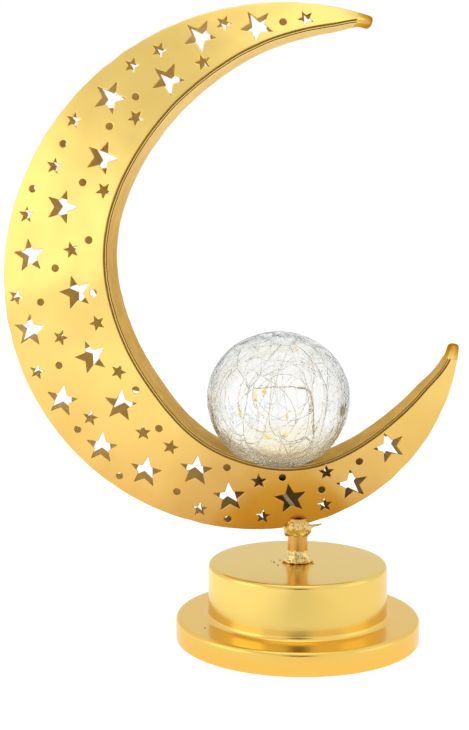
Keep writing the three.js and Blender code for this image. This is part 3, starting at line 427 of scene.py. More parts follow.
class Finish:
    """A material in the making: places on the piece, noise on them, and the shader at the end."""

    def __init__(self, name):
        self.material = bpy.data.materials.new(name)
        self.material.use_nodes = True
        self.tree = self.material.node_tree
        self.tree.nodes.clear()
        self.start = Link(self.tree)
        self.place = self.start.node("ShaderNodeTexCoord", output=3)

    def grain(self, scale, detail=2.0, roughness=0.5, stretch=None):
        """Noise with about that many grains in a metre."""
        place = self.stretched(stretch) if stretch else self.place
        inputs = {"Vector": place, "Scale": scale, "Detail": detail, "Roughness": roughness}
        return self.start.node("ShaderNodeTexNoise", None, inputs)

    def stretched(self, stretch):
        return self.start.node("ShaderNodeVectorMath", {"operation": "MULTIPLY"}, {0: self.place, 1: stretch})

    def cells(self, scale, feature="F1", randomness=1.0, stretch=None):
        place = self.stretched(stretch) if stretch else self.place
        inputs = {"Vector": place, "Scale": scale, "Randomness": randomness}
        return self.start.node("ShaderNodeTexVoronoi", {"feature": feature}, inputs)

    def height(self):
        return self.start.node("ShaderNodeSeparateXYZ", None, {0: self.place}, 2)

    def away_from(self, middle):
        ends = {0: self.place, 1: middle}
        return self.start.node("ShaderNodeVectorMath", {"operation": "DISTANCE"}, ends, 1)

    def bump(self, height, depth, strength=1.0, under=None):
        """A normal from a height of 0 to 1, where 1 stands depth millimetres proud."""
        inputs = {"Height": height, "Distance": depth * MM, "Strength": strength}
        if under is not None:
            inputs["Normal"] = under
        return self.start.node("ShaderNodeBump", None, inputs)

    def done(self, **inputs):
        """The surface itself; names are the shader's sockets with underscores for spaces."""
        named = {name.replace("_", " "): value for name, value in inputs.items()}
        shader = self.start.node("ShaderNodeBsdfPrincipled", None, named)
        self.start.node("ShaderNodeOutputMaterial", None, {"Surface": shader}, None)
        return self.material


# Finishes

def gold_lacquer(name, high_color, low_shaded_color, runs, mottle, haze):
    """Steel under gold lacquer, paler higher up and deeper and darker lower down, as lacquer that ran down
    and as painted shade for the darker reflections low on the lamp.

    runs holds the heights in millimetres where the lacquer and its painted shade are deepest and where they
    end.
    """
    finish = Finish(name)
    clouds = finish.grain(38, 3.0).clipped(0.35, 0.7)
    specks = finish.grain(900, 2.0).clipped(0.3, 0.8)
    rubbed = finish.grain(60, 4.0, 0.7, (1.0, 1.0, 9.0)).clipped(0.52, 0.75)
    # Painted shade: the colour deepens and darkens towards the bottom of the piece
    lower_shade = 1 - finish.height().clipped(runs[0] * MM, runs[1] * MM)
    tint = (lower_shade * (1 - mottle) + clouds * mottle).paint(rgb(*high_color), rgb(*low_shaded_color))
    dents = finish.bump(finish.grain(26, 1.0), 0.5, 0.35)
    skin = finish.bump(specks, 0.015, 0.6, dents)
    return finish.done(
        Base_Color=tint,
        Metallic=1.0,
        Roughness=haze + rubbed * 0.03 + specks * 0.03,
        Specular_Tint=rgb(0.97, 0.86, 0.62),
        Coat_Weight=0.5,
        Coat_Roughness=0.2,
        Normal=skin,
    )


# Middle of the painted shade inside the crescent, over the stem and under the globe
OVER_STEM = (0.0, 0.0, 0.065)


def overspray(name):
    """The inside of the crescent: the spray settled dry and dull; round the place over the stem, under the
    globe, it is painted dark brown as shade.
    """
    finish = Finish(name)
    clouds = finish.grain(70, 3.0, 0.6).clipped(0.3, 0.7)
    dust = finish.grain(1200, 2.0)
    # Painted shade: dark brown near the place over the stem, where the globe and the strip shade the inside
    clear_of_painted_shade = (finish.away_from(OVER_STEM) + (clouds - 0.5) * 0.01).clipped(0.028, 0.055)
    dry = clouds.paint(rgb(0.99, 0.84, 0.44), rgb(0.95, 0.74, 0.33))
    return finish.done(
        Base_Color=clear_of_painted_shade.paint(rgb(0.36, 0.24, 0.1), dry),
        Metallic=0.1,
        Roughness=0.5 + dust * 0.2,
        Specular_Tint=rgb(0.8, 0.65, 0.35),
        Normal=finish.bump(dust, 0.04),
    )


def strip_finish(name, top, pale, deep):
    """Lacquer on the hammered strip: duller than the plates, brown and cloudy, with painted light that makes
    its top arc paler.
    """
    finish = Finish(name)
    clouds = finish.grain(95, 4.0, 0.65).clipped(0.3, 0.68)
    marks = finish.grain(420, 2.0)
    # Painted light: the top arc of the strip is painted in the paler top colour
    lit_top_arc = finish.height().clipped(0.19, 0.25)
    return finish.done(
        Base_Color=(lit_top_arc * (1 - clouds * 0.25)).paint(clouds.paint(rgb(*pale), rgb(*deep)), rgb(*top)),
        Metallic=0.75,
        Roughness=0.4 + marks * 0.16,
        Specular_Tint=rgb(0.8, 0.55, 0.2),
        Normal=finish.bump(marks, 0.08, 1.0, finish.bump(clouds, 0.3, 0.5)),
    )


def braze(name, pale, deep, dark_share):
    """Gold-sprayed braze: smooth runs, with brown scale and pale flux in small patches."""
    finish = Finish(name)
    runs = finish.grain(260, 3.0, 0.5, (1.0, 1.0, 0.45))
    scale = finish.grain(420, 4.0, 0.65).clipped(0.66 - dark_share, 0.74 - dark_share)
    flux = finish.grain(300, 2.0).clipped(0.6, 0.7)
    tint = runs.clipped(0.35, 0.65).paint(rgb(*pale), rgb(*deep))
    stained = (scale * 0.85).paint(tint, rgb(0.27, 0.14, 0.03))
    return finish.done(
        Base_Color=(flux * 0.6).paint(stained, rgb(0.95, 0.84, 0.52)),
        Metallic=0.95 - flux * 0.4,
        Roughness=0.22 + scale * 0.25,
        Normal=finish.bump(finish.grain(700, 2.0), 0.06, 0.7, finish.bump(runs, 0.3, 0.6)),
    )


def filed_braze(name, axis):
    """Braze filed flush with the plates: gold where it starts, browner to the end that the flame heated."""
    finish = Finish(name)
    across = finish.start.node("ShaderNodeTexCoord")
    along = finish.start.node("ShaderNodeSeparateXYZ", None, {0: across}, axis)
    clouds = finish.grain(330, 2.0)
    heat = (along + (clouds - 0.5) * 0.5).clipped(0.2, 0.85)
    return finish.done(
        Base_Color=heat.paint(rgb(0.94, 0.67, 0.19), rgb(0.62, 0.31, 0.05)),
        Metallic=1.0,
        Roughness=0.26 + clouds * 0.1,
        Specular_Tint=rgb(0.6, 0.36, 0.1),
        Normal=finish.bump(clouds, 0.08, 0.5),
    )


GLASS_FLAW = (0.0205, -0.0165, 0.1148)


def crackle_glass(name):
    """Clear glass shot through with a net of fine cracks that catch the light. Low down it is painted a warm
    gold, a painted reflection of the gold strip under it, and made more see-through so that more light
    reaches that strip.
    """
    finish = Finish(name)
    threads = finish.cells(88, "DISTANCE_TO_EDGE", 1.0, (1.0, 1.0, 0.34))
    fading = finish.grain(60, 2.0).clipped(0.4, 0.6)
    short = finish.cells(300, "DISTANCE_TO_EDGE", 1.0, (1.0, 1.0, 0.8))
    broken = finish.grain(190, 3.0).clipped(0.44, 0.56)
    edge = finish.start.node("ShaderNodeLayerWeight", None, {"Blend": 0.45}, 1) ** 1.6
    fine = (1 - short.clipped(0.0, 0.11)) * broken * (0.05 + edge * 1.5)
    net = (1 - threads.clipped(0.002, 0.011)) * (0.2 + fading * 0.7) + fine
    flaw_at = finish.away_from(GLASS_FLAW)
    flaw = 1 - (flaw_at + finish.grain(500, 2.0) * 0.001).clipped(0.0028, 0.0042)
    clear = (flaw * 0.95).paint(rgb(0.996, 0.997, 0.992), rgb(0.16, 0.15, 0.09))
    # Painted reflection: low on the globe the glass and its cracks are painted a warm gold, the strip under
    # it as seen in the glass
    above_painted_gold = (finish.height() + (finish.grain(60, 2.0) - 0.5) * 0.012).clipped(0.092, 0.102)
    painted_gold_below = above_painted_gold.paint(rgb(0.97, 0.88, 0.55), clear)
    rim = (edge * above_painted_gold * 0.7).paint(painted_gold_below, rgb(0.78, 0.82, 0.74))
    thread = above_painted_gold.paint(rgb(0.7, 0.6, 0.32), rgb(0.3, 0.33, 0.27))
    waves = finish.bump(finish.grain(120, 2.0, 0.5, (1.0, 1.0, 0.6)), 0.7, 0.5)
    surface = finish.bump(net * (0.35 + above_painted_gold * 0.65), 0.25, 0.6, waves)
    return finish.done(
        Base_Color=(net * 0.85).clipped(0.0, 1.0).paint(rim, thread),
        # More see-through low down, so that more light passes to the strip under the globe
        Alpha=0.55 + above_painted_gold * 0.45,
        Transmission_Weight=1.0,
        IOR=1.38,
        Roughness=net * 0.08,
        Normal=surface,
    )


def drawn_wire(name, color):
    finish = Finish(name)
    grain = finish.grain(700, 2.0)
    return finish.done(
        Base_Color=grain.paint(rgb(*color), rgb(*(0.7 * c for c in color))),
        Metallic=1.0,
        Roughness=0.28 + grain * 0.15,
        Normal=finish.bump(grain, 0.03),
    )


def glowing_resin(name):
    """A clear resin drop over a warm light."""
    finish = Finish(name)
    clouds = finish.grain(900, 1.0)
    return finish.done(
        Base_Color=clouds.paint(rgb(0.86, 0.72, 0.2), rgb(0.95, 0.85, 0.42)),
        Roughness=0.15 + clouds * 0.1,
        Emission_Color=clouds.paint(rgb(0.9, 0.68, 0.12), rgb(1.0, 0.84, 0.34)),
        Emission_Strength=0.35,
        Coat_Weight=0.6,
    )


def moulded(name, color, roughness, texture, depth):
    """Moulded plastic or rubber with a spark-eroded skin and slight shade changes."""
    finish = Finish(name)
    skin = finish.grain(texture, 3.0)
    clouds = finish.grain(45, 2.0).clipped(0.3, 0.7)
    lighter = tuple(min(1.0, 1.25 * c + 0.01) for c in color)
    return finish.done(
        Base_Color=(clouds * 0.6).paint(rgb(*color), rgb(*lighter)),
        Roughness=roughness + skin * 0.15,
        Normal=finish.bump(skin, depth),
    )


def foam(name):
    finish = Finish(name)
    pores = finish.cells(1100)
    soft = finish.grain(120, 3.0)
    return finish.done(
        Base_Color=pores.clipped(0.1, 0.6).paint(rgb(0.012, 0.012, 0.013), rgb(0.05, 0.05, 0.052)),
        Roughness=0.85 + soft * 0.1,
        Normal=finish.bump(pores, 0.25),
    )


def plated(name, color, roughness):
    """Plated steel: fine rolling marks and a slightly clouded surface."""
    finish = Finish(name)
    marks = finish.grain(90, 3.0, 0.6, (1.0, 14.0, 1.0))
    clouds = finish.grain(140, 2.0).clipped(0.35, 0.7)
    darker = tuple(0.72 * c for c in color)
    return finish.done(
        Base_Color=(clouds * 0.7).paint(rgb(*color), rgb(*darker)),
        Metallic=1.0,
        Roughness=roughness + marks * 0.2,
        Normal=finish.bump(marks, 0.02),
    )


def board_laminate(name):
    """Green solder mask over copper tracks that show through as paler lines."""
    finish = Finish(name)
    weave = finish.grain(1500, 1.0)
    tracks = 1 - finish.cells(260, "DISTANCE_TO_EDGE", 0.35).clipped(0.06, 0.1)
    return finish.done(
        Base_Color=tracks.paint(rgb(0.012, 0.11, 0.045), rgb(0.03, 0.23, 0.09)),
        Roughness=0.3 + weave * 0.12,
        Normal=finish.bump(tracks, 0.04),
    )


def printed_wrap(name):
    """A cell's shrink wrap: grey, with a darker band towards its ends."""
    finish = Finish(name)
    along = finish.start.node("ShaderNodeSeparateXYZ", None, {0: finish.place}, 1)
    band = along.math("ABSOLUTE", along) > 0.014
    scuffs = finish.grain(300, 3.0).clipped(0.55, 0.75)
    tint = band.paint(rgb(0.32, 0.34, 0.36), rgb(0.02, 0.02, 0.022))
    return finish.done(
        Base_Color=(scuffs * 0.3).paint(tint, rgb(0.6, 0.6, 0.6)),
        Metallic=0.4,
        Roughness=0.28 + scuffs * 0.2,
        Normal=finish.bump(finish.grain(60, 2.0), 0.05),
    )


# Both lacquers carry painted shade: their second colour, used lower down, stands in for the darker
# reflections there
LACQUER = gold_lacquer("gold_lacquer", (0.92, 0.67, 0.18), (0.62, 0.32, 0.06), (52, 140), 0.2, 0.28)
BASE_LACQUER = gold_lacquer("base_lacquer", (0.82, 0.6, 0.15), (0.92, 0.53, 0.08), (4, 16), 0.15, 0.19)
OVERSPRAY = overspray("overspray")
# The strip's first colour is painted light for its top arc
STRIP_LACQUER = strip_finish("strip_lacquer", (1.0, 0.8, 0.36), (0.82, 0.55, 0.17), (0.62, 0.38, 0.09))
# Painted shade: a dark brown laid in the strip's grooves and slots, where shade falls
PAINTED_GROOVE_SHADE = moulded("painted_groove_shade", (0.26, 0.14, 0.022), 0.8, 800, 0.05)
SCORCHED = moulded("scorched_drops", (0.1, 0.05, 0.015), 0.5, 900, 0.05)
STEM_BRAZE = braze("stem_braze", (0.86, 0.66, 0.27), (0.62, 0.42, 0.13), 0.1)
UPPER_TIP_BRAZE = filed_braze("upper_tip_braze", 0)
LOWER_TIP_BRAZE = filed_braze("lower_tip_braze", 2)
GLASS = crackle_glass("crackle_glass")
LIGHT_WIRE = drawn_wire("light_wire", (0.72, 0.62, 0.42))
RESIN = glowing_resin("light_resin")
ZINC = plated("zinc_plate", (0.62, 0.63, 0.65), 0.3)
NICKEL = plated("nickel_plate", (0.72, 0.7, 0.65), 0.2)
BLACK_PLASTIC = moulded("black_plastic", (0.015, 0.015, 0.016), 0.45, 900, 0.06)
WHITE_PLASTIC = moulded("white_plastic", (0.78, 0.77, 0.72), 0.4, 900, 0.04)
DARK_RUBBER = moulded("dark_rubber", (0.045, 0.03, 0.02), 0.5, 500, 0.05)
CHIP_BODY = moulded("chip_body", (0.02, 0.02, 0.02), 0.5, 1400, 0.03)
RESISTOR_BODY = moulded("resistor_body", (0.6, 0.42, 0.22), 0.3, 700, 0.03)
LEAD_JACKET = moulded("lead_jacket", (0.72, 0.6, 0.32), 0.35, 600, 0.03)
RED_JACKET = moulded("red_jacket", (0.45, 0.03, 0.02), 0.35, 600, 0.03)
PAD_FOAM = foam("pad_foam")
BOARD = board_laminate("board_laminate")
CELL_WRAP = printed_wrap("cell_wrap")


# Crescent plates

def star_corners(radius, turn):
    """A star's outline with each corner a little blunted, as a cutter leaves it."""
    corners = []
    for i in range(10):
        angle = turn + i * math.pi / 5
        reach = radius if i % 2 == 0 else radius * STAR_WAIST
        corners.append(Vector((reach * math.cos(angle), reach * math.sin(angle))))
    outline = []
    for i, corner in enumerate(corners):
        before = (corners[i - 1] - corner).normalized()
        after = (corners[(i + 1) % 10] - corner).normalized()
        blunt = 0.028 * radius
        outline.append(corner + before * blunt)
        outline.append(corner + (before + after) * (0.34 * blunt))
        outline.append(corner + after * blunt)
    return outline


def round_corners(radius):
    turns = np.linspace(0, 2 * math.pi, 25)[:-1]
    return [Vector((radius * math.cos(turn), radius * math.sin(turn))) for turn in turns]


def denser(outline, step):
    """The outline with points added along its long sides."""
    dense = []
    for i, point in enumerate(outline):
        following = outline[(i + 1) % len(outline)]
        parts = max(1, round((following - point).length / step))
        dense.extend(point.lerp(following, k / parts) for k in range(parts))
    return dense


def grown(outline, distance):
    """The outline moved outwards by a distance along its own normals."""
    moved = []
    for i, point in enumerate(outline):
        before = (point - outline[i - 1]).normalized()
        after = (outline[(i + 1) % len(outline)] - point).normalized()
        along = (before + after).normalized()
        normal = Vector((along.y, -along.x))
        stretch = 1 / max(0.5, normal.dot(Vector((before.y, -before.x))))
        moved.append(point + normal * (distance * stretch))
    return moved


def front_outlines():
    """Every cut of the front plate in the crescent's plane."""
    outlines = []
    kinds = [(star, BIG_STAR_RADIUS) for star in BIG_STARS]
    kinds += [(star, SMALL_STAR_RADIUS) for star in SMALL_STARS]
    for (hundredths, across, turn), radius in kinds:
        share = hundredths / 100
        heading = seam(share)[2]
        x, _, z = crescent_point(share, across * band_width(share), 0)
        centre = Vector((x, z))
        outlines.append([centre + p for p in star_corners(radius, heading + math.radians(turn))])
    for hundredths, across in ROUND_HOLES:
        share = hundredths / 100
        x, _, z = crescent_point(share, across * band_width(share), 0)
        outlines.append([Vector((x, z)) + p for p in round_corners(ROUND_HOLE_RADIUS)])
    return outlines


def back_outlines():
    """The back plate was cut by itself: its pattern is turned a little and lies a little closer together.

    The star over the stem shows no daylight, so the back plate is whole there.
    """
    pivot = Vector(BACK_PATTERN_PIVOT)
    turn = Matrix.Rotation(BACK_PATTERN_TURN, 2)
    shift = Vector(BACK_PATTERN_SHIFT)
    cuts = front_outlines()
    del cuts[BIG_STARS.index(STAR_OVER_STEM)]
    outlines = []
    for outline in cuts:
        moved = [pivot + shift + turn @ (point - pivot) * BACK_PATTERN_GROWTH for point in outline]
        outlines.append(clear_of_the_rim(moved))
    return outlines


def clear_of_the_rim(outline):
    """The cut, moved across the band where it would come too close to the plate's edge."""
    places = [on_the_band(*point) for point in outline]
    over = max(inward - band_width(share) + CUT_MARGIN for share, inward in places)
    under = max(CUT_MARGIN - inward for _, inward in places)
    back = max(over, 0.0) - max(under, 0.0)
    heading = seam(on_the_band(*middle_of(outline))[0])[2]
    outwards = Vector((math.sin(heading), -math.cos(heading)))
    return [point + outwards * back for point in outline]


def holds(outline, place):
    inside = False
    for i, a in enumerate(outline):
        b = outline[i - 1]
        if (a.y > place.y) != (b.y > place.y):
            crossing = a.x + (place.y - a.y) * (b.x - a.x) / (b.y - a.y)
            if place.x < crossing:
                inside = not inside
    return inside


CUT_BEVEL = 0.28
CUT_RINGS = (0.0, 0.4, 1.0, 2.2)
RIM_RINGS = (0.0, 0.4, 1.0, 2.4)
BEVEL_DROPS = {0.0: 0.2, 0.4: 0.06}
GRID = 2.6


def plate_depth(x, z):
    """Distance of a plate's outer face from the middle plane, slightly uneven as beaten sheet is."""
    share, inward = on_the_band(x, z)
    width = band_width(share)
    depth = SEAM_FACE + (half_depth(share) - SEAM_FACE) * inward / width
    uneven = noise.noise(Vector((x, z, 3.0)) / 21.0) * 0.5 + noise.noise(Vector((x, z, 8.0)) / 9.0) * 0.12
    ease = min(1.0, max(0.0, inward) / 6, max(0.0, width - inward) / 6)
    return depth + uneven * ease


def seam_dent(share):
    """The seam was filed by hand, so it is a little wavy."""
    distance = share * SEAM_LENGTH
    return drift(distance / 7.0, 5.0, 0.0) * 0.3 + drift(distance / 2.4, 9.0, 0.0) * 0.1


def plate_rim():
    """The plate's edge in the crescent's plane: along the seam, then back along the mouth."""
    stations = 400
    shares = [TIP_SHARE + (1 - 2 * TIP_SHARE) * i / stations for i in range(stations + 1)]
    along_seam = [crescent_point(s, seam_dent(s), 0) for s in shares]
    along_mouth = [crescent_point(s, band_width(s), 0) for s in reversed(shares)]
    return [Vector((x, z)) for x, _, z in along_seam + along_mouth]


def middle_of(points):
    return sum(points, Vector((0, 0))) / len(points)


class CutSheet:
    """A flat sheet in the crescent's plane, meshed round its cuts, with the bevel ring of each point."""

    def __init__(self, cuts):
        self.cuts = cuts
        self.centres = [middle_of(cut) for cut in self.cuts]
        self.places = []
        self.edges = []
        self.rings = []
        rim = plate_rim()
        for ring in RIM_RINGS:
            self.add_loop(grown(rim, -CUT_BEVEL * ring), ring)
        for cut in self.cuts:
            dense = denser(cut, 1.1)
            for ring in CUT_RINGS:
                self.add_loop(grown(dense, CUT_BEVEL * ring), ring)
        self.add_grid()

    def add_loop(self, loop, ring):
        first = len(self.places)
        self.places.extend(loop)
        self.rings.extend([ring] * len(loop))
        self.edges.extend((first + i, first + (i + 1) % len(loop)) for i in range(len(loop)))

    def within(self, outlines, place):
        near = (o for o, c in zip(outlines, self.centres) if (c - place).length < BIG_STAR_RADIUS + 2)
        return any(holds(outline, place) for outline in near)

    def add_grid(self):
        guards = [grown(cut, 3.2 * CUT_BEVEL) for cut in self.cuts]
        stations = round(SEAM_LENGTH / GRID)
        for i in range(stations):
            share = TIP_SHARE + (1 - 2 * TIP_SHARE) * (i + 0.5) / stations
            width = band_width(share)
            rows = max(1, round(width / GRID))
            for k in range(1, rows):
                x, _, z = crescent_point(share, width * k / rows, 0)
                place = Vector((x, z))
                if not self.within(guards, place):
                    self.places.append(place)
                    self.rings.append(None)

    def mesh(self):
        """Points, triangles and the bevel ring of each point."""
        points, _, triangles, origins, _, _ = delaunay_2d_cdt(self.places, self.edges, [], 1, 1e-5)
        kept = []
        for triangle in triangles:
            if not self.within(self.cuts, middle_of([points[i] for i in triangle])):
                kept.append(tuple(triangle))
        rings = []
        for sources in origins:
            known = [self.rings[s] for s in sources if self.rings[s] is not None]
            rings.append(min(known, default=None))
        return points, kept, rings


def plate(name, node, side, cuts):
    """One star-cut plate: its outer face, its inner face behind it, and the walls of its cuts."""
    points, triangles, rings = CutSheet(cuts).mesh()
    outer = []
    inner = []
    for point, ring in zip(points, rings):
        depth = plate_depth(point.x, point.y)
        outer.append((point.x, side * (depth - BEVEL_DROPS.get(ring, 0.0)), point.y))
        inner.append((point.x, side * (depth - SHEET), point.y))
    count = len(points)
    faces = list(triangles)
    faces.extend((c + count, b + count, a + count) for a, b, c in triangles)
    uses = {}
    for a, b, c in triangles:
        for edge in ((a, b), (b, c), (c, a)):
            key = tuple(sorted(edge))
            uses[key] = None if key in uses else edge
    faces.extend((b, a, a + count, b + count) for a, b in (e for e in uses.values() if e))
    piece = make_piece(name, outer + inner, faces, LACQUER)
    piece.data.materials.append(OVERSPRAY)
    for face in piece.data.polygons[len(triangles):2 * len(triangles)]:
        face.material_index = 1
    take_over(piece, node, CUT_SHARP)


plate("front_plate", "crescent_front_plate", -1, front_outlines())
plate("back_plate", "crescent_back_plate", 1, back_outlines())


# Inner strip

def strip_half(share):
    """Half of the strip's section, from the slot beside the plate to the middle of its wall."""
    width = band_width(share)
    depth = half_depth(share)
    wall = width + LIP_RISE
    fold = width + FOLD_RISE
    pressed = max(0.0, 1 - abs(share - 0.2) / 0.1)
    uneven = 0.8 + 0.6 * drift(share * SEAM_LENGTH / 30.0, 2.0, 7.0)
    open_by = FOLD_SLOT * uneven * (1 - 0.6 * pressed)
    lip = [(width + LIP_SLOT, depth - 0.25), (width + LIP_SLOT + 0.2, depth), (fold - 0.15, depth)]
    groove = [(fold, depth - 0.15), (fold, depth - FOLD_DEPTH), (fold + open_by, depth - FOLD_DEPTH)]
    edge = arc((wall - 0.3, depth - 0.45), 0.3, 90, 0, 4)
    steps = 11
    flat = [(wall, edge[-1][1] * (1 - i / steps)) for i in range(1, steps)]
    return lip + groove + [(fold + open_by, depth - 0.25)] + edge + flat


def strip_below(share):
    """The hidden side of a half: down the slot, along the tongue under the plate, and back under the wall."""
    width = band_width(share)
    depth = half_depth(share)
    slope = (depth - SEAM_FACE) / width
    tongue_end = depth - slope * TONGUE - SHEET - TONGUE_ROOM
    return [
        (width + LIP_SLOT, depth - SLOT_DEPTH), (width + 0.15, depth - SLOT_DEPTH),
        (width + 0.15, depth - SHEET - TONGUE_ROOM), (width - TONGUE, tongue_end),
        (width - TONGUE, tongue_end - 0.4), (width + LIP_RISE - STRIP_WALL, depth - STRIP_INSET - 0.4),
    ]


def strip_section(share):
    half = strip_half(share)
    below = strip_below(share)
    wall = (band_width(share) + LIP_RISE, 0.0)
    far_half = [(inward, -y) for inward, y in reversed(half)]
    far_below = [(inward, -y) for inward, y in below]
    return half + [wall] + far_half + far_below + list(reversed(below))


# Faces of the section, counted from the front lip; the other half mirrors them
# The groove faces are painted dark as shade
GROOVE_FACES = range(3, 7)
LIP_FACES = range(0, 3)

# Places of the strip's finishes in its own list
SHADE_IN_GROOVE = 1
ON_LIP = 2
UNSEEN = 3


def rippled(share, inward, y):
    """The wall is a little wavy where it was beaten to the curve."""
    wave = drift(share * SEAM_LENGTH / 9.0, y / 7.0, 1.0) * 0.16
    return inward + wave


def globe_centre():
    x, _, z = crescent_point(GLOBE_SHARE, band_width(GLOBE_SHARE) + GLOBE_SEAT_RISE, 0)
    return Vector((x, 0.0, z - GLOBE_SINK + GLOBE_RADIUS))


GLOBE = globe_centre()


def cut_away(piece, cutter):
    """The piece without what the cutter covers; the cutter is used up."""
    knife = piece.modifiers.new("cut", "BOOLEAN")
    knife.operation = "DIFFERENCE"
    knife.solver = "EXACT"
    knife.object = cutter
    settle(piece)
    bpy.data.objects.remove(cutter)


def settle(piece):
    """The piece's mesh with its modifiers applied."""
    graph = bpy.context.evaluated_depsgraph_get()
    graph.update()
    made = bpy.data.meshes.new_from_object(piece.evaluated_get(graph))
    piece.modifiers.clear()
    piece.data = made


def ball(radius, place, segments=72):
    work = bmesh.new()
    bmesh.ops.create_uvsphere(work, u_segments=segments, v_segments=segments // 2, radius=radius * MM)
    bmesh.ops.translate(work, verts=work.verts, vec=place * MM)
    mesh = bpy.data.meshes.new("ball")
    work.to_mesh(mesh)
    work.free()
    return placed("ball", mesh)


def inner_strip():
    stations = 380
    rings = []
    for i in range(stations + 1):
        share = TIP_SHARE + (1 - 2 * TIP_SHARE) * i / stations
        rings.append([
            crescent_point(share, rippled(share, inward, y), y) for inward, y in strip_section(share)
        ])
    piece = make_piece("inner_strip", *loft(rings), STRIP_LACQUER)
    for material in (PAINTED_GROOVE_SHADE, LACQUER, OVERSPRAY):
        piece.data.materials.append(material)
    around = len(rings[0])
    last_seen = 2 * len(strip_half(TIP_SHARE)) - 1
    # Groove faces and the floors of the slots get the painted groove shade
    for face in piece.data.polygons[:-2]:
        place = face.index % around
        mirrored = last_seen - place
        if mirrored < 0:
            in_slot = place - last_seen <= 2 or around - place <= 2
            face.material_index = SHADE_IN_GROOVE if in_slot else UNSEEN
        elif min(place, mirrored) in GROOVE_FACES:
            face.material_index = SHADE_IN_GROOVE
        elif min(place, mirrored) in LIP_FACES:
            face.material_index = ON_LIP
    face_outwards(piece)
    cut_away(piece, ball(GLOBE_RADIUS + GAP, GLOBE))
    piece.data.set_sharp_from_angle(angle=math.radians(EDGE_SHARP))
    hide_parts("crescent_inner_strip")


inner_strip()


# Ends of the crescent

def rounded_loop(corners, passes=3):
    """A closed outline with its corners cut back again and again until it is round."""
    loop = [Vector(corner) for corner in corners]
    for _ in range(passes):
        cut = []
        for i, point in enumerate(loop):
            following = loop[(i + 1) % len(loop)]
            cut.append(point.lerp(following, 0.25))
            cut.append(point.lerp(following, 0.75))
        loop = cut
    return loop


def tip_cap(name, node, at_end, least_width, finish):
    """Braze that closes a tip: it carries on the crescent's own taper and ends bluntly."""
    lap = 0.5 / SEAM_LENGTH
    start = TIP_SHARE + lap
    reach = start + 1.6 * lap
    steps = 26
    rings = []
    for i in range(steps):
        run = math.sin(math.pi / 2 * i / (steps - 1))
        share = start - reach * run
        width = max(band_width(share), least_width)
        depth = half_depth(share) + 0.12
        top = width + LIP_RISE + 0.12
        corners = [
            (-0.12, -SEAM_FACE - 0.1), (width, -depth), (top, -depth + 0.5),
            (top, depth - 0.5), (width, depth), (-0.12, SEAM_FACE + 0.1),
        ]
        middle = top / 2
        shrink = math.sqrt(1 - (run * 0.995) ** 11)
        ring = []
        for point in rounded_loop(corners):
            lump = noise.noise(Vector((point.x, point.y, 5 * run + 7 * at_end)) / 3.5) * 0.2 * min(1, 3 * run)
            inward = middle + (point.x - middle) * shrink * (1 + lump / 3)
            place = 1 - share if at_end else share
            ring.append(crescent_point(place, inward, point.y * shrink * (1 + lump / 5)))
        rings.append(ring)
    piece = make_piece(name, *loft(rings), finish)
    take_over(piece, node)


tip_cap("upper_tip", "upper_tip_cap", False, 3.3, UPPER_TIP_BRAZE)
tip_cap("lower_tip", "lower_tip_cap", True, 1.8, LOWER_TIP_BRAZE)


# Stem and its braze

def seam_height(x):
    """Height of the seam over a place near the stem."""
    centre, radius = STRETCHES[2][:2]
    across = x + STEM_PLACE[0] - centre[0]
    return centre[1] - math.sqrt(radius ** 2 - across ** 2) - STEM_PLACE[1] + SEAM_BOTTOM


def notch_height(x, y):
    """How high the stem's wall reaches before it meets the plates."""
    slope = (half_depth(STEM_SHARE) - SEAM_FACE) / band_width(STEM_SHARE)
    room = GAP * math.hypot(1, slope)
    inward = max(-GAP, (abs(y) - SEAM_FACE - room) / slope)
    return min(SEAM_BOTTOM + STEM_RISE, seam_height(x) + inward)


def stem():
    around = 96
    rings = []
    for radius, at_top in ((STEM_BORE, False), (STEM_RADIUS, False), (STEM_RADIUS, True), (STEM_BORE, True)):
        ring = []
        for k in range(around):
            angle = 2 * math.pi * k / around
            x = radius * math.cos(angle)
            y = radius * math.sin(angle)
            edge = (STEM_RADIUS * math.cos(angle), STEM_RADIUS * math.sin(angle))
            ring.append((x, y, notch_height(*edge) if at_top else STEM_BOTTOM))
        rings.append(ring)
    heights = 14
    outside = [
        [(a[0], a[1], a[2] + (b[2] - a[2]) * i / heights) for a, b in zip(rings[1], rings[2])]
        for i in range(heights + 1)
    ]
    inside = [
        [(a[0], a[1], a[2] + (b[2] - a[2]) * i / heights) for a, b in zip(rings[3], rings[0])]
        for i in range(heights + 1)
    ]
    points, faces = loft(outside + inside, closed_ends=False)
    last = (len(outside) + len(inside) - 1) * around
    faces.extend((i, last + i, last + (i + 1) % around, (i + 1) % around) for i in range(around))
    piece = make_piece("stem", points, faces, LACQUER)
    take_over(piece, "stem_tube", EDGE_SHARP)


stem()


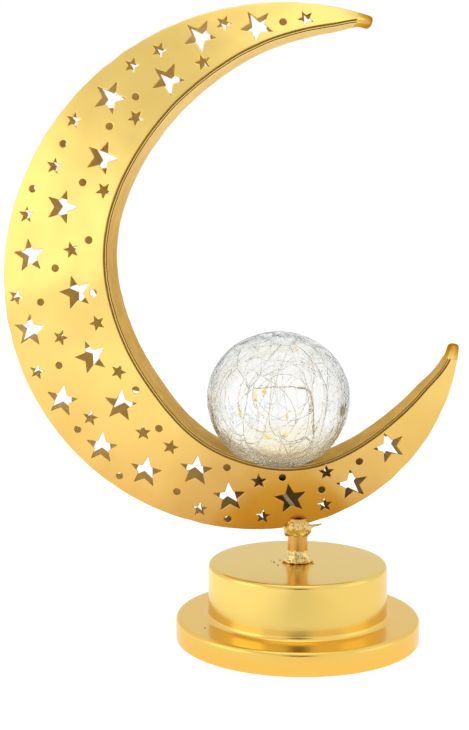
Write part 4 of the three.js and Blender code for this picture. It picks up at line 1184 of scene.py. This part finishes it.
def lumps(name, node, blobs, bore):
    """Braze run together from blobs: (x, y, z, width, height) each, hollow where the stem goes through."""
    work = bmesh.new()
    for x, y, z, width, height in blobs:
        made = bmesh.ops.create_icosphere(work, subdivisions=3, radius=1.0)
        bmesh.ops.scale(work, verts=made["verts"], vec=(width * MM, width * MM, height * MM))
        bmesh.ops.translate(work, verts=made["verts"], vec=Vector((x, y, z)) * MM)
    mesh = bpy.data.meshes.new(name)
    work.to_mesh(mesh)
    work.free()
    piece = placed(name, mesh)
    skin = piece.modifiers.new("skin", "REMESH")
    skin.mode = "VOXEL"
    skin.voxel_size = 0.3 * MM
    soften = piece.modifiers.new("soften", "SMOOTH")
    soften.factor = 0.7
    soften.iterations = 14
    settle(piece)
    for vertex in piece.data.vertices:
        place = vertex.co / MM
        rough = noise.noise(place / 1.6) * 0.16 + noise.noise(place / 0.7) * 0.05
        vertex.co += vertex.normal * (rough * MM)
    rod = make_rod(bore, min(b[2] for b in blobs) - 9, max(b[2] for b in blobs) + 9)
    cut_away(piece, rod)
    piece.data.materials.clear()
    piece.data.materials.append(STEM_BRAZE)
    piece.data.shade_smooth()
    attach(piece, "lamp")
    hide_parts(node)


def make_rod(radius, low, high):
    profile = [(0.001, low), (radius, low), (radius, high), (0.001, high)]
    rod = placed("rod", mesh_of("rod", *spun(profile, 64)))
    face_outwards(rod)
    return rod


def ring_of_blobs(radius, height, width, tall, count, seed):
    blobs = []
    for k in range(count):
        angle = 2 * math.pi * (k + 0.3 * drift(k, seed, 0.5)) / count
        vary = 1 + 0.22 * drift(k * 1.7, seed, 2.5)
        blobs.append((
            radius * math.cos(angle), radius * math.sin(angle),
            height + 0.35 * drift(k * 2.3, seed, 4.5),
            width * vary, tall * vary,
        ))
    return blobs


foot_blobs = (
    ring_of_blobs(STEM_RADIUS + 0.9, DRUM_TOP + 0.9, 1.5, 1.1, 26, 1.0)
    + ring_of_blobs(STEM_RADIUS + 0.2, DRUM_TOP + 2.4, 1.1, 2.0, 24, 2.0)
    + ring_of_blobs(STEM_RADIUS - 0.2, DRUM_TOP + 4.4, 0.8, 2.4, 20, 6.0)
    + [(7.1, -1.6, DRUM_TOP + 0.7, 1.2, 0.7), (3.4, -5.4, DRUM_TOP + 1.5, 1.3, 1.7)]
    + [(-6.8, -1.2, DRUM_TOP + 0.6, 1.3, 0.7)]
)
lumps("stem_foot_braze", "stem_bottom_weld", foot_blobs, STEM_RADIUS - 0.4)

crown_blobs = (
    ring_of_blobs(STEM_RADIUS + 0.1, SEAM_BOTTOM - 0.8, 1.1, 2.2, 24, 3.0)
    + ring_of_blobs(STEM_RADIUS - 0.2, SEAM_BOTTOM - 3.2, 0.8, 2.6, 22, 4.0)
    + ring_of_blobs(STEM_RADIUS - 0.6, SEAM_BOTTOM + 1.4, 1.1, 1.5, 18, 5.0)
    + [(-5.6, -1.6, SEAM_BOTTOM - 3.0, 1.25, 2.7), (5.5, -1.6, SEAM_BOTTOM - 2.0, 1.3, 2.5)]
    + [
        (6.4 + 0.75 * k, -1.2 + 0.06 * k, SEAM_BOTTOM - 0.5 + 0.16 * k, 1.1 - 0.08 * k, 0.9 - 0.06 * k)
        for k in range(8)
    ]
    + [(-6.2, -1.3, SEAM_BOTTOM - 0.8, 1.2, 1.0), (0.9, -4.6, SEAM_BOTTOM + 3.4, 0.6, 0.6)]
)
lumps("stem_crown_braze", "stem_top_weld", crown_blobs, STEM_RADIUS - 0.4)


# Drops that the braze threw on the base: x, y, height of the face and radius

THROWN_DROPS = (
    (-11.6, -1.7, DRUM_TOP, 0.5), (-8.6, 2.2, DRUM_TOP, 0.4), (-9.8, -7.3, DRUM_TOP, 0.45),
    (-12.9, 0.6, DRUM_TOP, 0.3), (-44.9, -24.1, FLANGE_HEIGHT, 0.5),
)


def thrown_drops():
    points = []
    faces = []
    for x, y, height, radius in THROWN_DROPS:
        foot = height - 0.15
        dome = [(radius * math.cos(a), foot + radius * 0.8 * math.sin(a)) for a in np.linspace(0, 1.5, 7)]
        add_part(points, faces, spun([(0.001, foot)] + dome, 20, (x, y)))
    piece = make_piece("thrown_drops", points, faces, SCORCHED)
    face_outwards(piece)


thrown_drops()


# Base shell

def shell_outline():
    """Half of the base's section: round flange, drum on it, and the sheet's inner side."""
    hole = STEM_RADIUS + GAP
    drum_edge = (DRUM_RADIUS - DRUM_EDGE_RADIUS, DRUM_TOP - DRUM_EDGE_RADIUS)
    root = (DRUM_RADIUS + ROOT_FILLET, FLANGE_HEIGHT + ROOT_FILLET)
    flange_edge = (FLANGE_RADIUS - FLANGE_EDGE_RADIUS, FLANGE_HEIGHT - FLANGE_EDGE_RADIUS)
    top = [(hole + (drum_edge[0] - hole) * i / 14, DRUM_TOP) for i in range(14)]
    side = [(DRUM_RADIUS, drum_edge[1] + (root[1] - drum_edge[1]) * i / 9) for i in range(1, 9)]
    ledge = [(root[0] + (flange_edge[0] - root[0]) * i / 6, FLANGE_HEIGHT) for i in range(1, 6)]
    outside = (
        top + arc(drum_edge, DRUM_EDGE_RADIUS, 90, 0, 10) + side
        + arc(root, ROOT_FILLET, 180, 270, 6) + ledge
        + arc(flange_edge, FLANGE_EDGE_RADIUS, 90, 0, 10)
        + [(FLANGE_RADIUS, 3.0), (FLANGE_RADIUS, 0.5)]
        + arc((FLANGE_RADIUS - 0.4, 0.4), 0.4, 0, -90, 4)
        + [(FLANGE_RADIUS - SHELL_WALL, 0.0)]
    )
    inside = (
        arc(flange_edge, FLANGE_EDGE_RADIUS - SHELL_WALL, 0, 90, 5)
        + arc(root, ROOT_FILLET + SHELL_WALL, 270, 180, 5)
        + arc(drum_edge, DRUM_EDGE_RADIUS - SHELL_WALL, 0, 90, 5)
        + [(hole, DRUM_TOP - SHELL_WALL)]
    )
    return outside + inside


def base():
    around = 160
    points, faces = spun(shell_outline(), around)
    shaped = []
    for x, y, z in points:
        radius = math.hypot(x, y)
        dent = noise.noise(Vector((x, y, z)) / 24.0) * 0.13
        on_top = z > DRUM_TOP - 0.1 and radius > STEM_RADIUS + 2
        grow = 1 + (0.0 if on_top or radius < 20 or radius > FLANGE_RADIUS - 1 else dent / radius)
        shaped.append((x * grow, y * grow, z + (dent * 0.8 - 0.1 if on_top else 0.0)))
    piece = make_piece("base_drum", shaped, faces, BASE_LACQUER)
    take_over(piece, "base_shell", EDGE_SHARP)


base()


# Globe and its lights

def globe():
    """The blown ball with its short neck; its outside is slightly uneven."""
    inner = GLOBE_RADIUS - GLASS_WALL
    bore = NECK_RADIUS - NECK_WALL
    neck_end = GLOBE.z - GLOBE_RADIUS - NECK_DROP
    outer_start = -math.degrees(math.acos(NECK_RADIUS / GLOBE_RADIUS))
    inner_start = -math.degrees(math.acos(bore / inner))
    outside = arc((0, GLOBE.z), GLOBE_RADIUS, outer_start, 89.9, 64)
    inside = arc((0, GLOBE.z), inner, 89.9, inner_start, 56)
    neck = [
        (bore, neck_end + 0.3), (bore + 0.3, neck_end),
        (NECK_RADIUS - 0.3, neck_end), (NECK_RADIUS, neck_end + 0.3),
    ]
    points, faces = spun(outside + inside + neck, 128, (GLOBE.x, GLOBE.y))
    shaped = []
    for point in points:
        place = Vector(point)
        away = place - GLOBE
        wave = noise.noise(place / 11.0) * 0.22 + noise.noise(place / 4.0) * 0.05
        keep = min(1.0, max(0.0, (away.length - 20) / 10)) if away.z > -GLOBE_RADIUS + 3 else 0.0
        place += away.normalized() * (wave - 0.12) * keep
        if away.z > 0:
            place.z = GLOBE.z + (place.z - GLOBE.z) * CROWN_SHARE
        shaped.append(tuple(place))
    piece = make_piece("globe", shaped, faces, GLASS)
    take_over(piece, "glass_globe")


globe()


def loop_place(turns):
    """A place on the wound wire, from the middle of the globe."""
    phase = 2 * math.pi * (turns - LOOP_START_TURN)
    tilt = math.radians(LOOP_TILT + LOOP_TILT_SWING * math.sin(LOOP_SWING_RATE * turns))
    spin = math.radians(LOOP_PRECESSION * turns)
    radius = FIRST_LOOP_RADIUS - LOOP_SHRINK * turns
    lean = math.pi / 2 - tilt
    x = radius * math.cos(phase)
    flat = radius * math.sin(phase)
    y = -flat * math.sin(lean)
    z = flat * math.cos(lean)
    return Vector((x * math.cos(spin) - y * math.sin(spin), x * math.sin(spin) + y * math.cos(spin), z))


def hand_wound(place, turns):
    """The place moved as a hand-pushed wire strays: wide bows, then small kinks."""
    bow = Vector([drift(turns * 1.9, seed, 6.0) for seed in (0.7, 3.9, 8.1)])
    kink = Vector([drift(turns * 5.1, seed, 1.0) for seed in (0.3, 4.3, 8.3)])
    strayed = place + bow * 7.5 + kink * 1.6
    room = GLOBE_RADIUS - GLASS_WALL - 1.0
    return strayed * min(1.0, room / strayed.length)


LEAD_TURN = (
    (0, 0, -34), (2, 0, -32.4), (8, -1, -30.6), (14.5, -2, -27), (17.5, -2, -20), (16.8, -2, -8),
    (16, -1, 3), (12, 0, 5.5), (-13, 1, 5), (-16, 2, 1),
)
LEAD_LENGTH = 54


def twisted_lead():
    """The lead's two strands, twisted together: up the right side of the globe, then bare to the left."""
    path = [Vector(corner) for corner in LEAD_TURN]
    for _ in range(4):
        eased = [path[0]]
        for a, b in zip(path, path[1:]):
            eased.extend((a.lerp(b, 0.25), a.lerp(b, 0.75)))
        path = eased + [path[-1]]
    even = denser(path, 0.5)
    even = even[:even.index(path[-1]) + 1]
    strands = ([], [])
    radii = []
    travelled = 0.0
    for place, following in zip(even, even[1:]):
        along = (following - place).normalized()
        travelled += (following - place).length
        side = along.cross(Vector((0, 1, 0.2))).normalized()
        turned = Matrix.Rotation(2 * math.pi * travelled / LEAD_TWIST, 3, along) @ side
        bare = travelled > LEAD_LENGTH
        radii.append(BARE_RADIUS if bare else STRAND_RADIUS)
        offset = turned * (BARE_OFFSET if bare else STRAND_OFFSET)
        strands[0].append(GLOBE + place + offset)
        strands[1].append(GLOBE + place - offset)
    return strands, radii


def fairy_lights():
    """One bare wire wound through the globe, and a drop of resin over each light on it."""
    start = GLOBE.z - GLOBE_RADIUS - NECK_DROP + PLUG_DEPTH + GAP
    steps_in = ((0.0, 0.0), (0.0, 0.6), (0.3, 2.4))
    entry = [Vector((GLOBE.x + aside, 0, start + rise)) for aside, rise in steps_in]
    loops = []
    for i in range(WIRE_LOOPS * LOOP_STEPS + 1):
        turns = i / LOOP_STEPS
        loops.append(GLOBE + hand_wound(loop_place(turns), turns))
    rise = [entry[-1].lerp(loops[0], t) for t in (0.25, 0.5, 0.75)]
    path = entry + rise + loops
    string_points, string_faces = wire(path, [WIRE_RADIUS] * len(path), 8)
    strands, radii = twisted_lead()
    for strand in strands:
        add_part(string_points, string_faces, wire(strand, radii, 8))
    string = make_piece("fairy_wire", string_points, string_faces, LIGHT_WIRE)
    face_outwards(string)
    beads = []
    spacing = 1 / BEADS_PER_LOOP
    at = FIRST_BEAD * spacing
    while at < WIRE_LOOPS - 0.1:
        beads.append(at)
        at += spacing
    points = []
    faces = []
    for turns in beads:
        centre = GLOBE + hand_wound(loop_place(turns), turns)
        ahead = GLOBE + hand_wound(loop_place(turns + 0.01), turns + 0.01)
        along = (ahead - centre).normalized()
        stations = [-1, -0.86, -0.6, -0.3, 0, 0.3, 0.6, 0.86, 1]
        drop = [centre + along * (DROP_HALF_LENGTH * s) for s in stations]
        radii = [2 * WIRE_RADIUS + DROP_THICKNESS * math.sqrt(max(0.0, 1 - s * s)) ** 1.3 for s in stations]
        add_part(points, faces, wire(drop, radii, 16))
    drops = make_piece("light_drops", points, faces, RESIN)
    face_outwards(drops)
    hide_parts("fairy_light_string")


fairy_lights()


# Finishes of the frame's own pieces

FRAME_FINISHES = (
    (BLACK_PLASTIC, ("bottom_cover", "stem_bush", "battery_box", "battery_door", "switch_body")),
    (ZINC, (
        "cover_screw_1", "cover_screw_2", "cover_bracket", "lock_washer", "lock_nut", "door_hinge_pin",
        "board_screw_1", "board_screw_2",
    )),
    (NICKEL, ("contact_plate", "contact_spring", "contact_bridge")),
    (PAD_FOAM, ("base_pad",)),
    (CELL_WRAP, ("battery_cell_1", "battery_cell_2")),
    (BOARD, ("circuit_board",)),
    (CHIP_BODY, ("timer_chip", "negative_wire")),
    (RESISTOR_BODY, ("series_resistor",)),
    (WHITE_PLASTIC, ("switch_slider",)),
    (RED_JACKET, ("positive_wire",)),
    (DARK_RUBBER, ("neck_retainer", "neck_plug")),
    (LEAD_JACKET, ("light_lead",)),
)


def finish_frame():
    for material, nodes in FRAME_FINISHES:
        for node in nodes:
            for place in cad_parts[node].material_slots:
                place.material = material


finish_frame()


# Camera, light and floor

IMAGE_HEIGHT = 730
FOCAL_PIXELS = 1231.3
CAMERA_PLACE = (-24.13, -595.4, 195.2)
CAMERA_PITCH = 0.1012
CAMERA_YAW = 0.0117


def photo_camera():
    data = bpy.data.cameras.new("photo_camera")
    data.sensor_fit = "VERTICAL"
    data.sensor_height = 36
    data.lens = FOCAL_PIXELS / IMAGE_HEIGHT * data.sensor_height
    camera = placed("photo_camera", data)
    camera.location = [value * MM for value in CAMERA_PLACE]
    camera.rotation_euler = (math.pi / 2 - CAMERA_PITCH, 0, CAMERA_YAW)
    bpy.context.scene.camera = camera


def soft_lamp(name, place, aim, size, power, color):
    data = bpy.data.lights.new(name, "AREA")
    data.shape = "DISK"
    data.size = size
    data.energy = power
    data.color = color
    lamp = placed(name, data)
    lamp.location = place
    lamp.rotation_euler = (Vector(aim) - Vector(place)).to_track_quat("-Z", "Y").to_euler()


FLOOR_SIDES = 96
FLOOR_OPENING = 0.056
FLOOR_REACH = 6.0
FLOOR_LEVEL = -0.0001


def studio_floor():
    """A pale floor that shows white and keeps the lamp's soft shadow. In reflections it shows a painted glow:
    brightest to the left of the base, less to the right, dimmer in front, and greyer right round the base and
    far off.

    It is open under the base, so that the underside can be seen and the battery door has room to open.
    """
    finish = Finish("studio_floor")
    camera_ray = finish.start.node("ShaderNodeLightPath")
    glossy_ray = finish.start.node("ShaderNodeLightPath", output=3)
    cloth = finish.start.node("ShaderNodeBsdfDiffuse", None, {"Color": rgb(0.9, 0.89, 0.87)})
    glow = finish.start.node("ShaderNodeEmission", None, {"Color": rgb(1, 1, 1), "Strength": 1.16})
    aside = finish.start.node("ShaderNodeSeparateXYZ", None, {0: finish.place})
    away = finish.start.node("ShaderNodeVectorMath", {"operation": "LENGTH"}, {0: finish.place}, 1)
    # Painted reflection: the glow that reflections see on the floor changes with the place
    to_right = aside.clipped(0.02, 0.1).paint(rgb(0.7, 0.7, 0.7), rgb(0.86, 0.83, 0.8))
    to_left = (0 - aside).clipped(0.02, 0.1).paint(to_right, rgb(1, 0.99, 0.98))
    beyond = away.clipped(0.3, 0.8).paint(to_left, rgb(0.76, 0.76, 0.76))
    mirrored = away.clipped(0.085, 0.115).paint(rgb(0.82, 0.81, 0.8), beyond)
    painted_floor_reflection = finish.start.node("ShaderNodeEmission", None, {"Color": mirrored, "Strength": 1.32})
    seen = finish.start.node("ShaderNodeMixShader", None, {0: camera_ray * 0.8, 1: cloth, 2: glow})
    mixed = finish.start.node("ShaderNodeMixShader", None, {0: glossy_ray * 0.9, 1: seen, 2: painted_floor_reflection})
    finish.start.node("ShaderNodeOutputMaterial", None, {"Surface": mixed}, None)
    mesh = bpy.data.meshes.new("floor")
    turns = [2 * math.pi * i / FLOOR_SIDES for i in range(FLOOR_SIDES)]
    ways = [(math.cos(turn), math.sin(turn)) for turn in turns]
    reaches = (FLOOR_OPENING, FLOOR_REACH)
    rounds = [[(reach * x, reach * y, FLOOR_LEVEL) for x, y in ways] for reach in reaches]
    after = [(i + 1) % FLOOR_SIDES for i in range(FLOOR_SIDES)]
    faces = [(i, i + FLOOR_SIDES, after[i] + FLOOR_SIDES, after[i]) for i in range(FLOOR_SIDES)]
    mesh.from_pydata(rounds[0] + rounds[1], [], faces)
    mesh.materials.append(finish.material)
    floor = placed("floor", mesh)


def white_world():
    world = bpy.data.worlds.new("white_world")
    world.use_nodes = True
    tree = world.node_tree
    tree.nodes.clear()
    start = Link(tree)
    camera_ray = start.node("ShaderNodeLightPath")
    glossy_ray = start.node("ShaderNodeLightPath", output=3)
    through_ray = start.node("ShaderNodeLightPath", output=6)
    heading = start.node("ShaderNodeTexCoord")
    side = start.node("ShaderNodeSeparateXYZ", None, {0: heading})
    back = start.node("ShaderNodeSeparateXYZ", None, {0: heading}, 1)
    rise = start.node("ShaderNodeSeparateXYZ", None, {0: heading}, 2)
    narrow = 1 - side.math("ABSOLUTE", side).clipped(0.08, 0.3)
    low = rise.clipped(0.04, 0.12) * (1 - rise.clipped(0.55, 0.7))
    upper_left = rise.clipped(0.3, 0.6) * (0 - side).clipped(0.1, 0.3) * (0 - back).clipped(0.1, 0.4)
    front = (0 - back).clipped(0.4, 0.75) * narrow * low
    unlit = front * 0.85 + back.clipped(0.2, 0.8) * 0.13 + upper_left * 0.14
    room = unlit.paint(rgb(1, 1, 1), rgb(0, 0, 0))
    plain = start.node("ShaderNodeBackground", None, {"Color": rgb(1, 0.99, 0.97), "Strength": 1.0})
    white = start.node("ShaderNodeBackground", None, {"Color": rgb(1, 1, 1), "Strength": 1.0})
    reflected = start.node("ShaderNodeBackground", None, {"Color": room, "Strength": 1.0})
    seen = start.node("ShaderNodeMixShader", None, {0: glossy_ray, 1: plain, 2: reflected})
    direct = (camera_ray + through_ray).clipped(0.0, 1.0)
    mixed = start.node("ShaderNodeMixShader", None, {0: direct, 1: seen, 2: white})
    start.node("ShaderNodeOutputWorld", None, {"Surface": mixed}, None)
    bpy.context.scene.world = world


photo_camera()
soft_lamp("key_lamp", (-1.5, -0.6, 0.5), (0, 0, 0.15), 1.4, 3.2, (1.0, 0.99, 0.96))
soft_lamp("fill_lamp", (1.5, -0.4, 0.5), (0, 0, 0.12), 1.2, 1.0, (1.0, 0.99, 0.97))
soft_lamp("top_lamp", (-0.1, -0.1, 1.5), (0, 0, 0.1), 1.0, 1.2, (1.0, 1.0, 1.0))
studio_floor()
white_world()
bpy.context.scene.view_settings.view_transform = "Standard"
